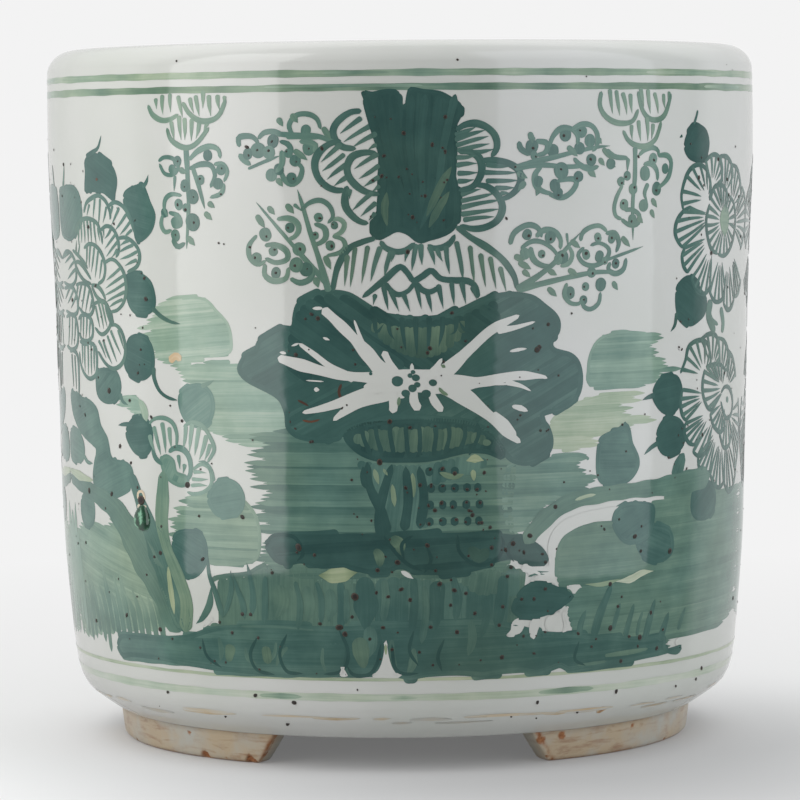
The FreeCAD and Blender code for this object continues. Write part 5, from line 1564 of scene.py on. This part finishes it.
CHRYSANTHEMUM_LOW = [
    ([(144, 177), (148, 183), (150.5, 189), (158, 191.5), (166, 190.5), (170.5, 184), (170.5, 179)],
     (165, 175), 7),
    ([(160, 191.5), (168, 194), (176, 193), (180, 187), (180, 180)], (172, 177), 6),
    ([(178, 192), (186, 190), (192, 184), (193, 177)], (183, 173), 5),
    ([(190, 186), (199, 181), (205, 172)], (190, 168), 5),
    ([(146, 170), (144.5, 164), (146, 158), (149.5, 154.5)], (168, 166), 5),
    ([(148.5, 154), (148, 149), (152, 144.5), (158, 143)], (172, 158), 5),
    ([(155, 140.5), (160, 138), (167, 139), (171, 144)], (176, 156), 4),
    ([(160, 138), (161, 133), (166, 129.5), (173, 130)], (180, 150), 5),
    ([(172, 129), (176, 124), (183, 121.5), (190, 124)], (184, 147), 5),
    ([(189, 123), (196, 118.5), (204, 121), (209, 128)], (190, 147), 5),
    ([(208, 128), (213, 138), (214, 150), (211, 162)], (194, 155), 7),
    ([(165, 178), (163, 172), (164, 165.5), (169, 159.5), (175, 158.5)], (188, 168), 6),
    ([(166, 179), (173, 179.6), (181, 179.3), (189, 176)], (184, 168), 6),
    ([(171, 157), (175, 151), (183, 147.5), (190, 150)], (188, 162), 6),
    ([(182, 147), (188, 140), (196, 141), (200, 148)], (191, 158), 5),
    ([(183, 166), (188, 168.5), (195, 167), (200, 161), (198, 155), (191, 153.6), (186, 157.5),
     (183, 162)], (192, 161), 0),
]
for flower in (CHRYSANTHEMUM_HIGH, CHRYSANTHEMUM_LOW):
    for outline, root, count in flower:
        petal(outline, fanned(outline, root, count, 0.72) if count else [], ink=0.78, width=2.0,
              bar_width=1.6)
fill([(179, 252), (185, 253), (188, 247), (185, 240), (180, 241), (177, 247)], 0.52, pitch=2.2, tint=0.3)
brush([(190, 163), (193, 161.5)], 3.0, 0.62)
brush([(170, 210), (168, 203), (171, 198), (175, 195)], [5, 5, 4], 0.70)
brush([(181, 206), (184, 199), (183, 194)], [4, 4, 3], 0.66)
petal([(168, 207), (171, 201), (178, 198)], [], ink=0.7, width=2.2)

# burnt marks left by the kiln
for line, width, ink in (
    ([(-47, 169.6), (-44.5, 168.4), (-42, 167)], 1.0, 0.95),
    ([(-45, 160.6), (-41, 160.0), (-37, 161)], 0.9, 0.9),
    ([(-27.3, 170), (-28.2, 173.5), (-27, 177)], 1.2, 0.95),
    ([(-137, 122), (-136.5, 125), (-133.5, 125.4), (-131.8, 122)], 1.4, 0.3),
    ([(-137.4, 119), (-134, 117.6), (-131, 119)], 2.4, 0.22),
    ([(-113, 186), (-109, 188.5), (-106, 186.6)], 3.4, 0.45), ([(-161, 268.5), (-159, 268.5)], 1.6, 0.9),
):
    brush(line, width, ink, start=0.8, finish=1.2, tint=RUST, layer=RESERVE)
paint_all_round("drawn_flowers")

# ================================================================ iron specks and green drip
# Grains of iron in the clay burst through the glaze in the firing. Each left a dark pit with a
# brown rim, most often where the paint lies thick, and one left a run of deep green glaze.

PROUD_PIT = 0.225  # mm, above every coat of paint


def pit_tree():
    """Sets a small, uneven, flattened bead of burnt iron on the wall at each point."""
    inputs = [("Pot", "Object"), ("Iron", "Material"), ("Seed", "Int")]
    tree, given, wanted = new_geometry_tree("burnt_through", inputs)
    place = add_node(tree, "GeometryNodeInputPosition").outputs[0]
    parts = add_node(tree, "ShaderNodeSeparateXYZ", Vector=place).outputs
    hit, out = on_the_wall(tree, parts, given["Pot"])
    points = add_node(tree, "GeometryNodeMeshToPoints", Mesh=given["Geometry"]).outputs[0]
    points = stored(tree, points, "way", out, "FLOAT_VECTOR")
    proud = aim(tree, "ADD", hit, scaled(tree, out, PROUD_PIT * 0.001))
    set_out = add_node(tree, "GeometryNodeSetPosition", Geometry=points, Position=proud).outputs[0]
    bead = add_node(tree, "GeometryNodeMeshUVSphere", Segments=9, Rings=4, Radius=1.0).outputs[0]
    on_bead = add_node(tree, "GeometryNodeInputPosition").outputs[0]
    spot = add_node(tree, "ShaderNodeSeparateXYZ", Vector=on_bead).outputs
    squares = [calc(tree, "MULTIPLY", spot[axis], spot[axis]) for axis in (0, 1)]
    rimmed = stored(tree, bead, "rim", calc(tree, "SQRT", calc(tree, "ADD", *squares)))
    flat = add_node(tree, "GeometryNodeTransform", Geometry=rimmed, Scale=(1.0, 1.0, 0.10)).outputs[0]
    way = named(tree, "way", "FLOAT_VECTOR")
    facing = add_node(tree, "FunctionNodeAlignRotationToVector", {"axis": "Z"}, Vector=way).outputs[0]
    spin = add_node(tree, "FunctionNodeRandomValue", {"data_type": "FLOAT"}, in2=0.0, in3=6.283,
                    Seed=given["Seed"]).outputs[1]
    about_up = add_node(tree, "ShaderNodeCombineXYZ", Z=spin).outputs[0]
    turn = add_node(tree, "FunctionNodeEulerToRotation", Euler=about_up).outputs[0]
    spun = add_node(tree, "FunctionNodeRotateRotation", {"rotation_space": "LOCAL"}, Rotation=facing,
                    Rotate_By=turn).outputs[0]
    uneven = add_node(tree, "FunctionNodeRandomValue", {"data_type": "FLOAT_VECTOR"}, in0=(0.7, 0.7, 0.8),
                      in1=(1.25, 1.25, 1.2), Seed=given["Seed"]).outputs[0]
    size = scaled(tree, uneven, calc(tree, "MULTIPLY", named(tree, "size"), 0.001))
    beads = add_node(tree, "GeometryNodeInstanceOnPoints", Points=set_out, Instance=flat, Rotation=spun,
                     Scale=size).outputs[0]
    real = add_node(tree, "GeometryNodeRealizeInstances", Geometry=beads).outputs[0]
    smooth = add_node(tree, "GeometryNodeSetShadeSmooth", Geometry=real).outputs[0]
    burnt = add_node(tree, "GeometryNodeSetMaterial", Geometry=smooth, Material=given["Iron"]).outputs[0]
    tree.links.new(burnt, wanted["Geometry"])
    return tree


def make_burnt_iron():
    """Black-brown slag in the pit, paling to a rusty rim."""
    material, tree = new_material("burnt_iron")
    rim = attribute(tree, "rim")
    place = object_place(tree)
    patch = clouds(tree, place, 160.0, 2.0)
    outer = blend(tree, patch, rgb(34, 48, 44), rgb(88, 66, 50))
    ring_share = remap(tree, rim, 0.45, 0.95)
    colour = blend(tree, ring_share, rgb(34, 28, 25), outer)
    surface = add_node(tree, "ShaderNodeBsdfPrincipled", Base_Color=colour, Roughness=0.45,
                       IOR=1.5).outputs[0]
    add_node(tree, "ShaderNodeOutputMaterial", Surface=surface)
    return material


# those that stand out, as (round, up, radius) in millimetres
PITS = [
    (-48, 103.5, 1.8), (-30, 67.5, 1.5), (-27.5, 64.5, 1.6), (-10.5, 142, 1.5), (-22.5, 81.5, 1.5),
    (61, 191, 1.7), (1.5, 288, 0.9), (19.5, 295, 0.8), (57.5, 107.5, 1.1), (70, 120, 0.9),
    (114, 104, 1.2), (120, 57, 1.2), (138, 95.5, 1.2), (-127, 214, 1.2), (-157, 171, 1.2),
    (-122.5, 98, 1.1), (-158, 123, 1.2), (-181, 123, 1.2), (-151, 67, 1.0), (-104.5, 130, 1.2),
    (-75, 116.5, 1.0), (-134.5, 121.5, 2.1), (-97, 96.5, 1.0), (-89.5, 68, 0.9), (-83, 63.5, 0.8),
    (-69.5, 61.7, 0.8), (-77, 72.3, 0.8), (-72.8, 72.3, 0.8), (-61, 91.7, 0.8), (-39, 69, 0.8),
    (-24, 72.3, 0.8), (-12, 93.5, 0.9), (-5.5, 92.6, 0.7), (-12.7, 83.3, 0.8), (-7.4, 81.5, 0.8),
    (-1.5, 84.8, 1.1), (2.5, 80, 1.0), (-10, 67.5, 1.0), (-3, 97, 1.3), (14, 93, 0.8), (15.8, 87, 1.0),
    (22.5, 84, 1.0), (21, 88.7, 0.8), (27.8, 82.5, 0.9), (20.8, 77.3, 0.9), (11.7, 67.5, 0.8),
    (23.8, 65, 1.0), (12.7, 50.2, 0.8), (-6, 57.5, 1.0), (32, 73.3, 0.9), (45, 75.8, 0.9),
    (39.5, 95, 0.8), (48.7, 93.6, 0.9), (47, 89.5, 0.8), (54, 78.9, 1.0), (60, 78.8, 0.8),
    (65.3, 95.2, 0.9), (65.5, 83, 0.7), (43.5, 67.5, 1.0), (55.3, 62, 0.8), (66, 63.3, 0.7),
    (83.3, 61.6, 0.8), (91, 55, 0.6), (101.3, 62.8, 1.2), (105.2, 72.5, 0.8), (113, 58, 0.8),
    (119, 53, 0.7), (108.7, 47, 0.8), (126.5, 68, 0.9), (136, 59.2, 0.8), (100, 83.2, 0.9),
    (118, 97, 0.8), (60.7, 53.8, 0.8), (-87.5, 49.6, 0.6), (-69.7, 47.2, 0.7), (-126, 33, 0.8),
    (-53.5, 32.4, 1.15), (64, 31, 0.9), (108, 33, 1.1), (-94, 23.5, 0.8), (88, 24.5, 0.8), (152, 31, 0.7),
]
# where more are scattered, as left, right, bottom, top, how many
PIT_FIELDS = [
    (-14, 25, 244, 304, 16), (-36, 52, 247, 293, 12), (-70, 80, 150, 212, 40), (-24, 44, 110, 158, 26),
    (-62, 64, 93, 110, 18), (-160, 140, 46, 66, 22), (-205, -122, 176, 282, 34), (-205, -90, 60, 168, 30),
    (140, 214, 124, 292, 46), (60, 140, 70, 160, 20), (-130, 130, 218, 300, 10), (-214, 214, 18, 40, 8),
    (-214, 214, 312, 326, 5), (214, 518, 50, 300, 110), (-518, -214, 50, 300, 110),
]
for left, right, bottom, top, count in PIT_FIELDS:
    for _ in range(count):
        PITS.append((chance.uniform(left, right), chance.uniform(bottom, top),
                     chance.choice((0.35, 0.45, 0.55, 0.7, 0.95))))
for u, v in rock_dots:
    PITS.append((u + chance.uniform(-0.8, 0.8), v + chance.uniform(-1.2, 1.2), chance.uniform(0.6, 1.1)))
for u, v, radius in BERRIES:
    if chance.random() < 0.8:
        PITS.append((u + chance.uniform(-0.9, 0.9), v + chance.uniform(-0.9, 0.9),
                     chance.uniform(0.4, 0.75)))
grains = bpy.data.meshes.new("grains")
grains.from_pydata([(u / 1000, v / 1000, 0) for u, v, radius in PITS], [], [])
grains.attributes.new("size", "FLOAT", "POINT").data.foreach_set("value", [radius for u, v, radius in PITS])
scatter = in_scene("grains", grains)
pits = run_tree(scatter, pit_tree(), "iron_specks", Pot=smooth_wall, Iron=make_burnt_iron(), Seed=5)
outward_facing(pits)
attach(pits, "root")

# the run of green glaze under the largest pit
DRIP_TURN, DRIP_HEIGHT = -134 / 165.0, 0.1135
DRIP_HALF = (0.0055, 0.0010, 0.0060)  # across, out and up, metres
WALL_AT_DRIP = 0.1652  # radius


def make_green_glass():
    """Copper glaze pooled thick: deep green, with a pale clouded patch that is a painted highlight."""
    material, tree = new_material("green_glass")
    place = object_place(tree)
    cloud = clouds(tree, place, 260.0, 2.0)
    # the pale stop paints a highlight into the glass's colour
    stops = [(0.3, rgb(14, 40, 28)), (0.54, rgb(26, 72, 50)), (0.66, rgb(126, 176, 146))]
    colour = colour_ramp(tree, cloud, stops)
    surface = add_node(tree, "ShaderNodeBsdfPrincipled", Base_Color=colour, Roughness=0.04,
                       IOR=1.6).outputs[0]
    add_node(tree, "ShaderNodeOutputMaterial", Surface=surface)
    return material


def make_drip():
    """A pear-shaped bead of glass, half sunk in the wall."""
    work = bmesh.new()
    bmesh.ops.create_uvsphere(work, u_segments=28, v_segments=18, radius=1.0)
    out = Vector((math.sin(DRIP_TURN), -math.cos(DRIP_TURN), 0))
    across = Vector((math.cos(DRIP_TURN), math.sin(DRIP_TURN), 0))
    for vertex in work.verts:
        swell = 1 + 0.16 * noise.noise(vertex.co * 1.7) - 0.25 * vertex.co.z
        away = out * (WALL_AT_DRIP + DRIP_HALF[1] * vertex.co.y)
        aside = across * (DRIP_HALF[0] * vertex.co.x * swell)
        vertex.co = away + aside + Vector((0, 0, DRIP_HEIGHT + DRIP_HALF[2] * vertex.co.z))
    mesh = bpy.data.meshes.new("green_drip")
    work.to_mesh(mesh)
    work.free()
    mesh.polygons.foreach_set("use_smooth", [True] * len(mesh.polygons))
    mesh.materials.append(make_green_glass())
    drip = in_scene("green_drip", mesh)
    outward_facing(drip)
    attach(drip, "root")


make_drip()
bpy.data.objects.remove(smooth_wall)
